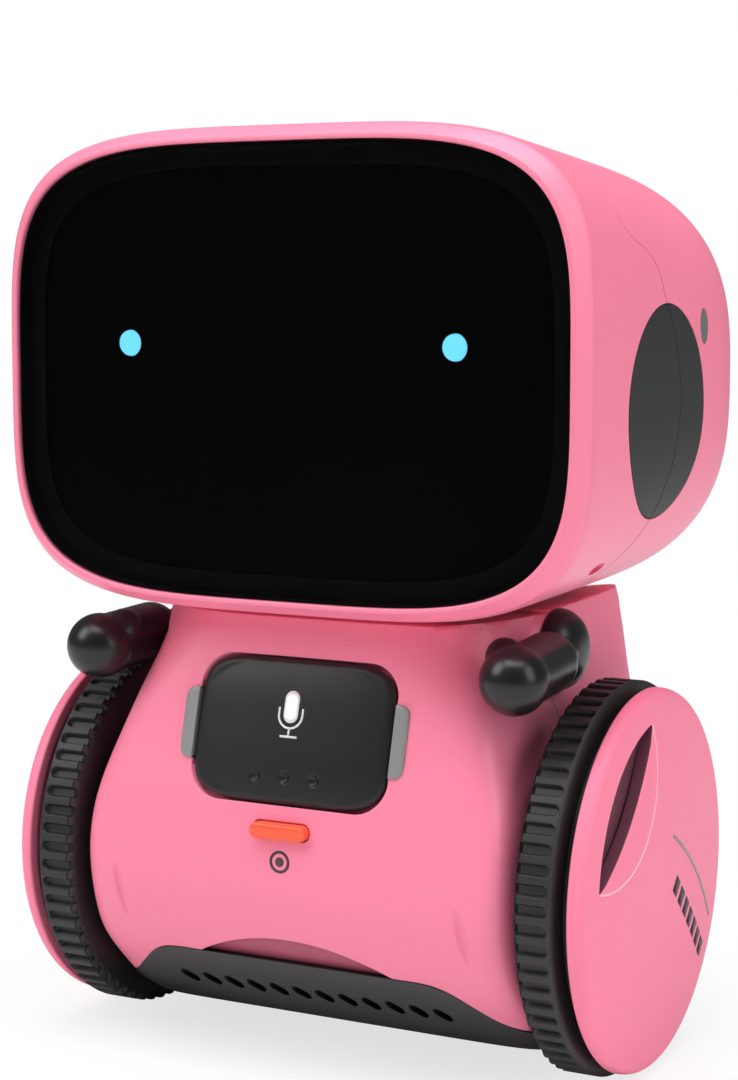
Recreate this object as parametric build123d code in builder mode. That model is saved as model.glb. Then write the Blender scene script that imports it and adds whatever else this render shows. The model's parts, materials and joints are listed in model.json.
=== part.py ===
from build123d import *
import os
from math import cos, pi, sin, radians

# Desktop robot toy: a television-shaped head on a drum-shaped torso that rolls on two wheels.
# Millimetres. X is across, -Y is the way the robot faces, +Z is up.
# The origin is on the floor, midway between the wheels, below their common axis.
# "left" is the robot's own left, at +X.

# ---- driving dimensions ----
HEIGHT = 120.0                # floor to crown
WHEEL_RADIUS = 25.2           # tyre on the floor, so also the height of the axle
WALL = 1.8                    # torso shells
HEAD_WALL = 2.2
SLIP = 0.05                   # radial clearance of a running fit
GAP = 0.1                     # clearance between fixed neighbours

# head: superellipse sections that taper and round off towards the back
HEAD_FRONT = -25.6            # front edge of the bezel
BEZEL_DEPTH = 2.3
HEAD_BACK = 46.0
HEAD_CENTRE_Z = 89.6
HEAD_HALF_WIDTH = 41.3
HEAD_BOTTOM = 59.4
LENS_HALF_WIDTH = 38.9
LENS_HALF_HEIGHT = 28.2
OUTLINE_POWER = 4.1           # squareness of the front outline
BACK_POWER = 2.65             # squareness of the back of the head
DEPTH_POWER = 3.4             # squareness of the rounding towards the back
ROUND_START = 8.7             # where that rounding begins
SIDE_TAPER = 0.009            # lost from the half width for each millimetre of depth
CROWN_FALL = 0.053
BELLY_FALL = 0.012
EAR_RADIUS = 13.4
EAR_Y = 0.8
EAR_Z = 84.7
EYE_X = 23.0
EYE_Z = 93.0
EYE_RADIUS = 1.65

# torso
BELLY_Z = 3.6                 # underside
TOWER_TOP = 58.3              # under the neck; the rim rises outside it
TOWER_RIM = 60.6
PANEL_TILT = 15.0             # chest leans back by this angle
PANEL_Z = 44.4
PANEL_HALF_WIDTH = 14.0
PANEL_HALF_HEIGHT = 9.2
PANEL_CORNER = 4.2
PANEL_PROUD = 1.2
CHEST_Y = -25.1               # foremost point of the chest
CHEST_FOOT_Z = 31.5           # where the leaning chest starts
RECORD_Z = 32.3
BUTTON_TRAVEL = 0.8
SLOT_COUNT = 12
SLOT_Z = 9.3
BUMPER_TOP = 14.3

# running gear
AXLE_Z = WHEEL_RADIUS
AXLE_RADIUS = 1.5
TYRE_INNER_X = 31.8
TYRE_OUTER_X = 37.1
TYRE_BORE = 20.5
GROOVE_COUNT = 64
CAP_RADIUS = 24.5
CAP_X = 38.7
CAP_DOME = 3.4
MODULE = 0.5
AXLE_TEETH = 50
PINION_TEETH = 10
GEAR_X = 24.4                 # middle of the gears
GEAR_WIDTH = 2.0
GEAR_CENTRES = MODULE * (AXLE_TEETH + PINION_TEETH) / 2 + 0.15
MOTOR_Z = AXLE_Z + GEAR_CENTRES
MOTOR_RADIUS = 7.5
ROLLER_Y = 20.6
ROLLER_RADIUS = 3.4
CELL_RADIUS = 5.25
CELL_HALF_LENGTH = 22.2
CELL_PLACES = ((1.2, 10.9), (12.0, 12.0), (14.6, 23.2))

# neck and arms
NECK_RADIUS = 6.0
NECK_BORE = 4.0
SEAT_Z = 61.2                 # flat seat inside the head for the neck flange
SHOULDER_BASE_X = 26.25       # flat back of the shoulder dome
SHOULDER_Z = 53.9
SHOULDER_RADIUS = 5.0
SHOULDER_DOME = 3.7
ARM_PIN_RADIUS = 2.0
FOREARM_X = 29.95
FOREARM_RADIUS = 3.7
ELBOW = 4.4                   # centre of the forearm's rounded end, measured from the shoulder
HAND = (29.95, -20.4, 53.1)
HAND_RADIUS = 4.3
THUMB = (27.6, -18.0, 55.5)
THUMB_RADIUS = 2.4

OUTLINE_STEPS = 40
os.makedirs("parts", exist_ok=True)


def save(part, name):
    part.label = name
    export_step(part, f"parts/{name}.step")


def save_pair(part, name):
    """Writes a piece of the left side and its mirror image on the right."""
    save(part, f"left_{name}")
    save(mirror(part, about=Plane.YZ), f"right_{name}")


def save_twin(part, name):
    """Writes a fixed piece and its mirror image as two solids of one node."""
    with BuildPart() as twin:
        add(part)
        add(mirror(part, about=Plane.YZ))
    save(twin.part, name)


# ---- shared outlines ----
def ring_points(half_width, half_height, power, centre):
    """Points round a superellipse, evenly spread in angle."""
    points = []
    for step in range(OUTLINE_STEPS):
        angle = 2 * pi * step / OUTLINE_STEPS
        reach = abs(cos(angle) / half_width) ** power + abs(sin(angle) / half_height) ** power
        reach = reach ** (-1 / power)
        points.append((reach * cos(angle), centre + reach * sin(angle)))
    return points


def head_section(y, inset):
    """Half width, half height, squareness and centre height of the head at depth y."""
    depth = y - HEAD_FRONT - BEZEL_DEPTH
    share = depth / (HEAD_BACK - HEAD_FRONT - BEZEL_DEPTH)
    top = HEIGHT - CROWN_FALL * depth
    bottom = HEAD_BOTTOM - BELLY_FALL * depth
    start = max(0.0, (y - ROUND_START) / (HEAD_BACK - inset - ROUND_START))
    shrink = (1 - start ** DEPTH_POWER) ** (1 / DEPTH_POWER)
    half_width = (HEAD_HALF_WIDTH - SIDE_TAPER * depth - inset) * shrink
    half_height = ((top - bottom) / 2 - inset) * shrink
    power = OUTLINE_POWER + (BACK_POWER - OUTLINE_POWER) * share
    return half_width, half_height, power, (top + bottom) / 2


def head_solid(stations, inset):
    """Closed solid through the head's sections, all drawn in by inset."""
    with BuildPart() as body:
        for y in stations:
            half_width, half_height, power, centre = head_section(y, inset)
            with BuildSketch(Plane.XZ.offset(-y)):
                with BuildLine():
                    Spline(*ring_points(half_width, half_height, power, centre), periodic=True)
                make_face()
        loft()
    return body.part


def lens_plate(grow, front, back):
    """Straight plate with the lens outline, grown all round, between two depths."""
    with BuildPart() as plate:
        with BuildSketch(Plane.XZ.offset(-front)):
            with BuildLine():
                Spline(
                    *ring_points(
                        LENS_HALF_WIDTH + grow, LENS_HALF_HEIGHT + grow, OUTLINE_POWER, HEAD_CENTRE_Z
                    ),
                    periodic=True,
                )
            make_face()
        extrude(amount=front - back)
    return plate.part


BACK_SQUARENESS = 12.0
# Torso levels: height, front, back, half width ahead of the middle, half width at the back,
# squareness of the front corners.
TORSO_LEVELS = (
    (BELLY_Z, -9.0, 12.0, 29.6, 29.6, 10.0),
    (6.0, -12.8, 15.8, 30.3, 30.3, 11.0),
    (10.0, -17.4, 19.4, 30.7, 30.7, 12.0),
    (14.5, -21.4, 22.2, 30.8, 30.8, 14.0),
    (20.0, -24.1, 24.0, 30.8, 30.8, 14.0),
    (27.0, CHEST_Y, 24.8, 30.8, 30.8, 14.0),
    (34.0, -24.4, 24.6, 30.2, 30.8, 12.0),
    (41.0, -22.5, 23.6, 28.4, 30.5, 10.0),
    (47.0, -20.9, 22.6, 26.4, 30.1, 8.5),
    (50.0, -20.1, 22.1, 25.8, 29.8, 6.5),
    (54.0, -19.0, 21.5, 25.4, 29.4, 4.6),
    (TOWER_RIM, -17.3, 20.2, 24.8, 28.6, 3.4),
)


def torso_solid(inset, lowest, highest):
    """Closed solid through the torso's levels, drawn in by inset, between two heights."""
    with BuildPart() as body:
        for height, front, back, front_half_width, back_half_width, power in TORSO_LEVELS:
            level = min(max(height, lowest), highest)
            middle = (front + back) / 2
            half_depth = (back - front) / 2 - inset
            ahead = [p for p in ring_points(1.0, 1.0, power, 0.0) if p[1] < -1e-6]
            behind = [p for p in ring_points(1.0, 1.0, BACK_SQUARENESS, 0.0) if p[1] >= -1e-6]
            points = []
            for x, y in behind + ahead:
                flare = (back_half_width - front_half_width) * max(y, 0.0) ** 1.4
                points.append((x * (front_half_width + flare - inset), middle + y * half_depth))
            with BuildSketch(Plane.XY.offset(level)):
                with BuildLine():
                    Spline(*points, periodic=True)
                make_face()
        loft()
    return body.part


def keep_box(low, high):
    """Plain block between two corners, used to cut along planes."""
    centre = tuple((a + b) / 2 for a, b in zip(low, high))
    size = tuple(b - a for a, b in zip(low, high))
    with BuildPart() as block:
        with Locations(centre):
            Box(*size)
    return block.part


def rod(plane, radius, start, end, bore=0.0):
    """Round rod or tube along a plane's normal, between two distances from it."""
    with BuildPart() as bar:
        with BuildSketch(plane.offset(start)):
            Circle(radius)
            if bore:
                Circle(bore, mode=Mode.SUBTRACT)
        extrude(amount=end - start)
    return bar.part


# ---- head ----
OUTER_STATIONS = (HEAD_FRONT + BEZEL_DEPTH, -12, 0, 10, 20, 28, 34, 39, 43, 45.4)
INNER_STATIONS = (-20.4, -10, 0, 10, 20, 28, 34, 38, 41, 43.2)
LENS_SEAT = HEAD_FRONT + 2.7
SCREW_X = 31.5
SCREW_DROP = 18.5             # above and below the middle of the head
SCREW_PLACES = tuple((x, HEAD_CENTRE_Z + z) for x in (-SCREW_X, SCREW_X) for z in (-SCREW_DROP, SCREW_DROP))
SCREW_WELL_Y = 12.0

head_skin = head_solid(OUTER_STATIONS, 0.0)
head_hollow = head_solid(INNER_STATIONS, HEAD_WALL)

with BuildPart() as head_case:
    add(head_skin)
    front_section = head_section(HEAD_FRONT + BEZEL_DEPTH, 0.0)
    with BuildSketch(Plane.XZ.offset(-HEAD_FRONT - BEZEL_DEPTH)):
        with BuildLine():
            Spline(*ring_points(*front_section), periodic=True)
        make_face()
    with BuildSketch(Plane.XZ.offset(-HEAD_FRONT)):
        with BuildLine():
            Spline(
                *ring_points(LENS_HALF_WIDTH + 0.5, LENS_HALF_HEIGHT + 0.5, OUTLINE_POWER, HEAD_CENTRE_Z),
                periodic=True,
            )
        make_face()
    loft()
    add(head_hollow, mode=Mode.SUBTRACT)
    add(lens_plate(0.0, HEAD_FRONT - 1, LENS_SEAT), mode=Mode.SUBTRACT)
    add(lens_plate(-2.2, HEAD_FRONT, -18.0), mode=Mode.SUBTRACT)
    # hole for the neck, and the flat seat round it
    add(rod(Plane.XY, NECK_RADIUS + 1.2, 50, 70), mode=Mode.SUBTRACT)
    add(rod(Plane.XY, 12.2, SEAT_Z, 66), mode=Mode.SUBTRACT)

head_wall = head_case.part

with BuildPart() as ear_cutter:
    with BuildSketch(Plane.YZ.offset(-60)):
        with Locations((EAR_Y, EAR_Z)):
            Circle(EAR_RADIUS + SLIP)
    extrude(amount=120)

with BuildPart() as ear_core:
    with BuildSketch(Plane.YZ.offset(-60)):
        with Locations((EAR_Y, EAR_Z)):
            Circle(EAR_RADIUS)
    extrude(amount=120)

SIDE_LENS_Y = 14.2
SIDE_LENS_Z = 95.1
with BuildPart() as side_lens_cutter:
    with BuildSketch(Plane.YZ.offset(-60)):
        with Locations((SIDE_LENS_Y, SIDE_LENS_Z)):
            Ellipse(1.5, 2.3)
    extrude(amount=120)

with BuildPart() as side_lens_core:
    with BuildSketch(Plane.YZ.offset(-60)):
        with Locations((SIDE_LENS_Y, SIDE_LENS_Z)):
            Ellipse(1.42, 2.22)
    extrude(amount=120)

FAR = 100.0


def head_side(shift, direction):
    """Everything on one side of the head's parting line, which is drawn in side view."""
    with BuildPart() as side:
        with BuildSketch(Plane.YZ.offset(-FAR)):
            with BuildLine():
                Line((shift - 9, 40), (shift - 9, 62.5))
                Spline(
                    (shift - 9, 62.5), (shift + 0.2, 72), (shift + 5.8, 86), (shift + 0.4, 98),
                    (shift - 2.6, 103.6), (shift - 10.6, 106.6), (shift - 12.5, 110),
                    tangents=((0, 1), (0, 1)),
                )
                Polyline(
                    (shift - 12.5, 110), (shift - 12.5, 140), (direction * FAR, 140),
                    (direction * FAR, 40), (shift - 9, 40),
                )
            make_face()
        extrude(amount=2 * FAR)
    return side.part


front_half = head_side(-SLIP, -1)
back_half = head_side(SLIP, 1)

# screw towers run along Y from each shell to the parting plane
with BuildPart() as head_towers:
    with BuildSketch(Plane.XZ.offset(21)):
        with Locations(*SCREW_PLACES):
            Circle(3.2)
    extrude(amount=-60)
    add(head_skin, mode=Mode.INTERSECT)

with BuildPart() as head_front_shell:
    add(head_wall)
    add(head_towers.part)
    add(ear_cutter.part, mode=Mode.SUBTRACT)
    add(front_half, mode=Mode.INTERSECT)
    with BuildSketch(Plane.XZ.offset(-SCREW_WELL_Y)):
        with Locations(*SCREW_PLACES):
            Circle(1.2)
    extrude(amount=30, mode=Mode.SUBTRACT)
    # shallow pry slots low on both sides
    with Locations((-38.2, -13, 66.3), (38.2, -13, 66.3)):
        Box(1.8, 4.0, 1.2, mode=Mode.SUBTRACT)
save(head_front_shell.part, "head_front_shell")

with BuildPart() as head_back_shell:
    add(head_wall)
    add(head_towers.part)
    add(ear_cutter.part, mode=Mode.SUBTRACT)
    add(side_lens_cutter.part, mode=Mode.SUBTRACT)
    add(back_half, mode=Mode.INTERSECT)
    with BuildSketch(Plane.XZ.offset(-SCREW_WELL_Y)):
        with Locations(*SCREW_PLACES):
            Circle(1.3)
    extrude(amount=30, mode=Mode.SUBTRACT)
    with BuildSketch(Plane.XZ.offset(-SCREW_WELL_Y)):
        with Locations(*SCREW_PLACES):
            Circle(2.2)
    extrude(amount=-40, mode=Mode.SUBTRACT)
save(head_back_shell.part, "head_back_shell")

with BuildPart() as head_screws:
    with BuildSketch(Plane.XZ.offset(-SCREW_WELL_Y - SLIP)):
        with Locations(*SCREW_PLACES):
            Circle(2.0)
            RegularPolygon(0.9, 6, mode=Mode.SUBTRACT)
    extrude(amount=-1.6)
    with BuildSketch(Plane.XZ.offset(-SCREW_WELL_Y - SLIP)):
        with Locations(*SCREW_PLACES):
            Circle(1.1)
    extrude(amount=29)
save(head_screws.part, "head_screws")

left_half = keep_box((0, -FAR, 0), (FAR, FAR, 2 * FAR))
for end, half in (("front", front_half), ("back", back_half)):
    with BuildPart() as ear:
        add(head_skin)
        add(head_hollow, mode=Mode.SUBTRACT)
        add(ear_core.part, mode=Mode.INTERSECT)
        add(left_half, mode=Mode.INTERSECT)
        add(half, mode=Mode.INTERSECT)
    save_pair(ear.part, f"ear_{end}")

with BuildPart() as side_lens:
    add(head_skin)
    add(head_hollow, mode=Mode.SUBTRACT)
    add(side_lens_core.part, mode=Mode.INTERSECT)
    add(left_half, mode=Mode.INTERSECT)
save_twin(side_lens.part, "side_lenses")

with BuildPart() as screen_lens:
    add(lens_plate(-GAP, HEAD_FRONT + 0.1, LENS_SEAT - SLIP))
    fillet(screen_lens.faces().sort_by(Axis.Y)[0].edges(), 0.8)
save(screen_lens.part, "screen_lens")

MASK_FRONT = LENS_SEAT + SLIP
MASK_BACK = MASK_FRONT + 1.0
with BuildPart() as screen_mask:
    add(lens_plate(-2.4, MASK_FRONT, MASK_BACK))
    with BuildSketch(Plane.XZ.offset(-MASK_FRONT)):
        with Locations((-EYE_X, EYE_Z), (EYE_X, EYE_Z)):
            Circle(EYE_RADIUS + GAP)
    extrude(amount=-2, mode=Mode.SUBTRACT)
save(screen_mask.part, "screen_mask")

BOARD_FRONT = -19.6
with BuildPart() as display_board:
    with BuildSketch(Plane.XZ.offset(-BOARD_FRONT)):
        with Locations((0, HEAD_CENTRE_Z)):
            RectangleRounded(60, 34, 4)
        with Locations((0, HEAD_CENTRE_Z)):
            with GridLocations(54, 28, 2, 2):
                Circle(1.1, mode=Mode.SUBTRACT)
    extrude(amount=-1.2)
save(display_board.part, "display_board")

with BuildPart() as eye_light:
    with BuildSketch(Plane.XZ.offset(-MASK_FRONT)):
        with Locations((EYE_X, EYE_Z)):
            Circle(EYE_RADIUS)
    extrude(amount=MASK_FRONT - BOARD_FRONT + SLIP)
    fillet(eye_light.faces().sort_by(Axis.Y)[0].edges(), 0.3)
save_twin(eye_light.part, "eye_lights")

with BuildPart() as touch_plate:
    with BuildSketch(Plane.XY.offset(113.4)):
        with Locations((0, 4)):
            RectangleRounded(26, 26, 5)
    extrude(amount=0.6)
save(touch_plate.part, "touch_plate")

# ---- neck ----
RING_Z = 50.6
with BuildPart() as neck_spindle:
    with BuildSketch(Plane.XY.offset(RING_Z - 0.9)):
        Circle(NECK_RADIUS)
    extrude(amount=SEAT_Z - RING_Z + 1.0)
    with BuildSketch(Plane.XY.offset(SEAT_Z + SLIP)):
        Circle(12.0)
    extrude(amount=2.0)
    with BuildSketch(Plane.XY.offset(RING_Z - 1)):
        Circle(NECK_BORE)
    extrude(amount=16, mode=Mode.SUBTRACT)
    # groove that the retaining ring snaps into
    with BuildSketch(Plane.XY.offset(RING_Z - SLIP)):
        Circle(NECK_RADIUS + 1)
        Circle(NECK_RADIUS - 0.5, mode=Mode.SUBTRACT)
    extrude(amount=0.8 + 2 * SLIP, mode=Mode.SUBTRACT)
save(neck_spindle.part, "neck_spindle")

with BuildPart() as neck_ring:
    with BuildSketch(Plane.XY.offset(RING_Z)):
        Circle(NECK_RADIUS + 2.2)
        Circle(NECK_RADIUS - 0.5 + SLIP, mode=Mode.SUBTRACT)
        with Locations((0, -NECK_RADIUS)):
            Rectangle(4, 5, mode=Mode.SUBTRACT)
    extrude(amount=0.8)
save(neck_ring.part, "neck_ring")

BUSH_RADIUS = 8.0
with BuildPart() as neck_bush:
    with BuildSketch(Plane.XY.offset(RING_Z + 0.9)):
        Circle(BUSH_RADIUS)
    extrude(amount=TOWER_TOP - RING_Z - 0.9)
    with BuildSketch(Plane.XY.offset(TOWER_TOP + SLIP)):
        Circle(BUSH_RADIUS + 2)
    extrude(amount=0.5)
    with BuildSketch(Plane.XY.offset(TOWER_TOP - 1)):
        Circle(BUSH_RADIUS)
    extrude(amount=1.5)
    with BuildSketch(Plane.XY.offset(RING_Z)):
        Circle(NECK_RADIUS + SLIP)
    extrude(amount=10, mode=Mode.SUBTRACT)
save(neck_bush.part, "neck_bush")

with BuildPart() as neck_cable:
    with BuildLine():
        cable_path = Spline((0, -7, 42), (0, -3, 45), (0, 0, 49), (0, 0, 68), tangents=((0, 1, 1), (0, 0, 1)))
    with BuildSketch(Plane(origin=cable_path @ 0, z_dir=cable_path % 0)):
        Circle(1.3)
    sweep()
save(neck_cable.part, "neck_cable")

# ---- torso ----
# the top is dished so that the head can turn over it
with BuildPart() as torso_body:
    add(torso_solid(0.0, BELLY_Z, TOWER_RIM))
    with BuildSketch(Plane.XZ):
        with BuildLine():
            Polyline(
                (0, TOWER_TOP), (24, TOWER_TOP), (36, TOWER_RIM), (50, TOWER_RIM), (50, 70), (0, 70),
                close=True,
            )
        make_face()
    revolve(axis=Axis.Z, mode=Mode.SUBTRACT)
torso_skin = torso_body.part
torso_hollow = torso_solid(WALL, BELLY_Z + WALL, TOWER_TOP - WALL)

# the chest leans back, so its fittings are drawn on this plane, whose normal points out of the robot
PANEL_Y = CHEST_Y + (PANEL_Z - CHEST_FOOT_Z) * sin(radians(PANEL_TILT)) / cos(radians(PANEL_TILT)) + 0.2
chest = Plane(
    origin=(0, PANEL_Y, PANEL_Z),
    x_dir=(1, 0, 0),
    z_dir=(0, -cos(radians(PANEL_TILT)), sin(radians(PANEL_TILT))),
)
SEAT_DEPTH = 1.6              # pocket that the chest panel sinks into
PAD_DEPTH = 3.6
STEM_PLACES = ((-8.0, 0.0), (8.0, 0.0))
STEM_RADIUS = 2.0
BAR_HALF_WIDTH = 16.3
BAR_HALF_HEIGHT = 4.6
BOARD_DEPTH = 8.6             # main board, measured from the chest surface
RECORD_SIZE = (8.0, 2.0)
RECORD_FRONT = CHEST_Y - 0.9
ARM_HOLE = ARM_PIN_RADIUS + SLIP
BEARING_RADIUS = 3.2
FORK_BACK = ROLLER_Y + 2.4
FORK_FRONT = ROLLER_Y - 2.4
FORK_HALF_WIDTH = 5.4
BASE_CORNER = (24.6, -7.2, 11.4)     # half width, front, back
DOOR_CORNER = (21.0, -5.0, 9.0)
SWITCH_Z = 36.0
HIGH_SCREWS = ((-15.2, 52.8), (15.2, 52.8))
LOW_SCREWS = ((-26.8, 9.0), (26.8, 9.0))
SHOULDER_SEAT = 23.2          # inner wall is faced flat here for the arm washers
BODY_SCREWS = HIGH_SCREWS + LOW_SCREWS

front_body = keep_box((-FAR, -FAR, 0), (FAR, -SLIP, FAR))
back_body = keep_box((-FAR, SLIP, 0), (FAR, FAR, FAR))

with BuildPart() as torso_pad:
    # thicker wall behind the chest panel
    with BuildSketch(chest.offset(-0.5)):
        RectangleRounded(2 * PANEL_HALF_WIDTH + 5, 2 * PANEL_HALF_HEIGHT + 3, PANEL_CORNER + 1)
    extrude(amount=0.5 - PAD_DEPTH)

with BuildPart() as body_towers:
    with BuildSketch(Plane.XZ.offset(30)):
        with Locations(*BODY_SCREWS):
            Circle(2.6)
    extrude(amount=-60)
    add(torso_skin, mode=Mode.INTERSECT)

BEARING_POST_X = (27.4, 30.0)
SHOULDER_BOSS_X = (23.8, SHOULDER_BASE_X - GAP)
with BuildPart() as wall_bosses:
    # thicker walls where the axles pass, and flat seats for the shoulders
    for place, radius, (inner, outer) in (
        (AXLE_Z, BEARING_RADIUS + 1.6, BEARING_POST_X),
        (SHOULDER_Z, SHOULDER_RADIUS + 0.1, SHOULDER_BOSS_X),
    ):
        for start in (-outer, inner):
            with BuildSketch(Plane.YZ.offset(start)):
                with Locations((0, place)):
                    Circle(radius)
            extrude(amount=outer - inner)

with BuildPart() as torso_wall:
    add(torso_skin)
    add(torso_hollow, mode=Mode.SUBTRACT)
    add(torso_pad.part)
    add(body_towers.part)
    add(wall_bosses.part)
    # openings: neck, arms, axles, base plate, roller fork and power switch
    add(rod(Plane.XY, BUSH_RADIUS + SLIP, 50, 60), mode=Mode.SUBTRACT)
    with BuildSketch(Plane.YZ.offset(-40)):
        with Locations((0, SHOULDER_Z)):
            Circle(ARM_HOLE)
        with Locations((0, AXLE_Z)):
            Circle(BEARING_RADIUS + SLIP)
    extrude(amount=80, mode=Mode.SUBTRACT)
    with BuildSketch(Plane.YZ.offset(-SHOULDER_SEAT)):
        with Locations((0, SHOULDER_Z)):
            Circle(2.5)
    extrude(amount=3.6, mode=Mode.SUBTRACT)
    with BuildSketch(Plane.YZ.offset(SHOULDER_SEAT)):
        with Locations((0, SHOULDER_Z)):
            Circle(2.5)
    extrude(amount=-3.6, mode=Mode.SUBTRACT)
    add(
        keep_box(
            (-BASE_CORNER[0] - GAP, BASE_CORNER[1] - GAP, 0),
            (BASE_CORNER[0] + GAP, BASE_CORNER[2] + GAP, BELLY_Z + WALL + GAP),
        ),
        mode=Mode.SUBTRACT,
    )
    add(
        keep_box(
            (-FORK_HALF_WIDTH - GAP, FORK_FRONT - GAP, 0),
            (FORK_HALF_WIDTH + GAP, FAR, 12.6),
        ),
        mode=Mode.SUBTRACT,
    )
    add(keep_box((-4.6, 20, SWITCH_Z - 1.6), (4.6, 30, SWITCH_Z + 1.6)), mode=Mode.SUBTRACT)

with BuildPart() as bumper_zone:
    # arch across the lower front, lower at its two ends
    with BuildSketch(Plane.XZ.offset(7.4)):
        with BuildLine():
            Polyline((-33, 0), (-33, 6.0), (-30, 7.2))
            Spline(
                (-30, 7.2), (-26, 9.8), (-21, 13.5), (-16.5, BUMPER_TOP),
                tangents=((1, 0.5), (1, 0)),
            )
            Line((-16.5, BUMPER_TOP), (16.5, BUMPER_TOP))
            Spline(
                (16.5, BUMPER_TOP), (21, 13.5), (26, 9.8), (30, 7.2),
                tangents=((1, 0), (1, -0.5)),
            )
            Polyline((30, 7.2), (33, 6.0), (33, 0), (-33, 0))
        make_face()
    extrude(amount=30)

SCOOP_DEPTH = 1.0
with BuildPart() as scoop:
    with BuildSketch(Plane.XZ.offset(20)):
        with BuildLine():
            ThreePointArc((-14, BUMPER_TOP), (0, BUMPER_TOP + 3.6), (14, BUMPER_TOP))
            Line((14, BUMPER_TOP), (-14, BUMPER_TOP))
        make_face()
    extrude(amount=20)
    add(torso_solid(SCOOP_DEPTH, BELLY_Z, TOWER_TOP), mode=Mode.SUBTRACT)

with BuildPart() as torso_front_shell:
    add(torso_wall.part)
    add(front_body, mode=Mode.INTERSECT)
    add(bumper_zone.part, mode=Mode.SUBTRACT)
    # shallow crescent above the bumper
    add(scoop.part, mode=Mode.SUBTRACT)
    # pocket, stems and light bar groove of the chest panel
    with BuildSketch(chest.offset(-SEAT_DEPTH)):
        RectangleRounded(2 * (PANEL_HALF_WIDTH + 0.25), 2 * (PANEL_HALF_HEIGHT + 0.25), PANEL_CORNER + 0.25)
    extrude(amount=6, mode=Mode.SUBTRACT)
    with BuildSketch(chest.offset(-SEAT_DEPTH - 0.9)):
        Rectangle(2 * (BAR_HALF_WIDTH + GAP), 2 * (BAR_HALF_HEIGHT + GAP))
    extrude(amount=6, mode=Mode.SUBTRACT)
    with BuildSketch(chest.offset(-8)):
        with Locations(*STEM_PLACES):
            Circle(STEM_RADIUS + 0.1)
    extrude(amount=10, mode=Mode.SUBTRACT)
    with BuildSketch(Plane.XZ.offset(18)):
        with Locations((0, RECORD_Z)):
            SlotOverall(RECORD_SIZE[0] + 0.3, RECORD_SIZE[1] + 0.3)
    extrude(amount=12, mode=Mode.SUBTRACT)
    with BuildSketch(Plane.XZ.offset(22.8)):
        with Locations((0, RECORD_Z)):
            SlotOverall(RECORD_SIZE[0] + 2.4, RECORD_SIZE[1] + 2.0)
    extrude(amount=-4, mode=Mode.SUBTRACT)
    with BuildSketch(Plane.XZ):
        with Locations(*BODY_SCREWS):
            Circle(1.05)
    extrude(amount=9, mode=Mode.SUBTRACT)
save(torso_front_shell.part, "torso_front_shell")

with BuildPart() as torso_back_shell:
    add(torso_wall.part)
    add(back_body, mode=Mode.INTERSECT)
    with BuildSketch(Plane.XZ):
        with Locations(*BODY_SCREWS):
            Circle(1.15)
    extrude(amount=-12, mode=Mode.SUBTRACT)
    with BuildSketch(Plane.XZ.offset(-8)):
        with Locations(*BODY_SCREWS):
            Circle(2.05)
    extrude(amount=-40, mode=Mode.SUBTRACT)
save(torso_back_shell.part, "torso_back_shell")

with BuildPart() as torso_screws:
    with BuildSketch(Plane.XZ.offset(-8 - SLIP)):
        with Locations(*BODY_SCREWS):
            Circle(1.9)
            RegularPolygon(0.8, 6, mode=Mode.SUBTRACT)
    extrude(amount=-1.5)
    with BuildSketch(Plane.XZ.offset(-8 - SLIP)):
        with Locations(*BODY_SCREWS):
            Circle(1.0)
    extrude(amount=16)
save(torso_screws.part, "torso_screws")

with BuildPart() as lower_bumper:
    add(torso_skin)
    add(torso_hollow, mode=Mode.SUBTRACT)
    add(bumper_zone.part, mode=Mode.INTERSECT)
    # clear of the shell above, the base plate and the screw towers
    with BuildSketch(Plane.XZ.offset(0)):
        with Locations(*LOW_SCREWS):
            Circle(2.6 + GAP)
    extrude(amount=14, mode=Mode.SUBTRACT)
    # slanted sound slots
    with BuildSketch(Plane.XZ.offset(5)):
        with GridLocations(3.4, 1, SLOT_COUNT, 1):
            with Locations(Location((0, SLOT_Z), 150)):
                SlotOverall(3.4, 1.3)
    extrude(amount=25, mode=Mode.SUBTRACT)
save(lower_bumper.part, "lower_bumper")

with BuildPart() as base_plate:
    with BuildSketch(Plane.XY.offset(BELLY_Z)):
        with Locations((0, (BASE_CORNER[1] + BASE_CORNER[2]) / 2)):
            RectangleRounded(2 * BASE_CORNER[0], BASE_CORNER[2] - BASE_CORNER[1], 2)
    extrude(amount=WALL)
    fillet(base_plate.faces().sort_by(Axis.Z)[0].edges(), 0.4)
    with BuildSketch(Plane.XY.offset(BELLY_Z - 1)):
        with Locations((0, (DOOR_CORNER[1] + DOOR_CORNER[2]) / 2)):
            RectangleRounded(2 * DOOR_CORNER[0] + 0.3, DOOR_CORNER[2] - DOOR_CORNER[1] + 0.3, 1.2)
    extrude(amount=WALL + 2, mode=Mode.SUBTRACT)
save(base_plate.part, "base_plate")

DOOR_SCREW = (0.0, -3.0)
with BuildPart() as battery_door:
    with BuildSketch(Plane.XY.offset(BELLY_Z + 0.1)):
        with Locations((0, (DOOR_CORNER[1] + DOOR_CORNER[2]) / 2)):
            RectangleRounded(2 * DOOR_CORNER[0], DOOR_CORNER[2] - DOOR_CORNER[1], 1)
    extrude(amount=1.2)
    # finger ribs
    with BuildSketch(Plane.XY.offset(BELLY_Z + 0.1)):
        with Locations((0, 5)):
            with GridLocations(1, 1.6, 1, 4):
                SlotOverall(14, 0.7)
    extrude(amount=0.4, mode=Mode.SUBTRACT)
    with BuildSketch(Plane.XY.offset(BELLY_Z)):
        with Locations(DOOR_SCREW):
            Circle(1.15)
    extrude(amount=3, mode=Mode.SUBTRACT)
    with BuildSketch(Plane.XY.offset(BELLY_Z)):
        with Locations(DOOR_SCREW):
            Circle(2.1)
    extrude(amount=0.8, mode=Mode.SUBTRACT)
save(battery_door.part, "battery_door")

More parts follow.
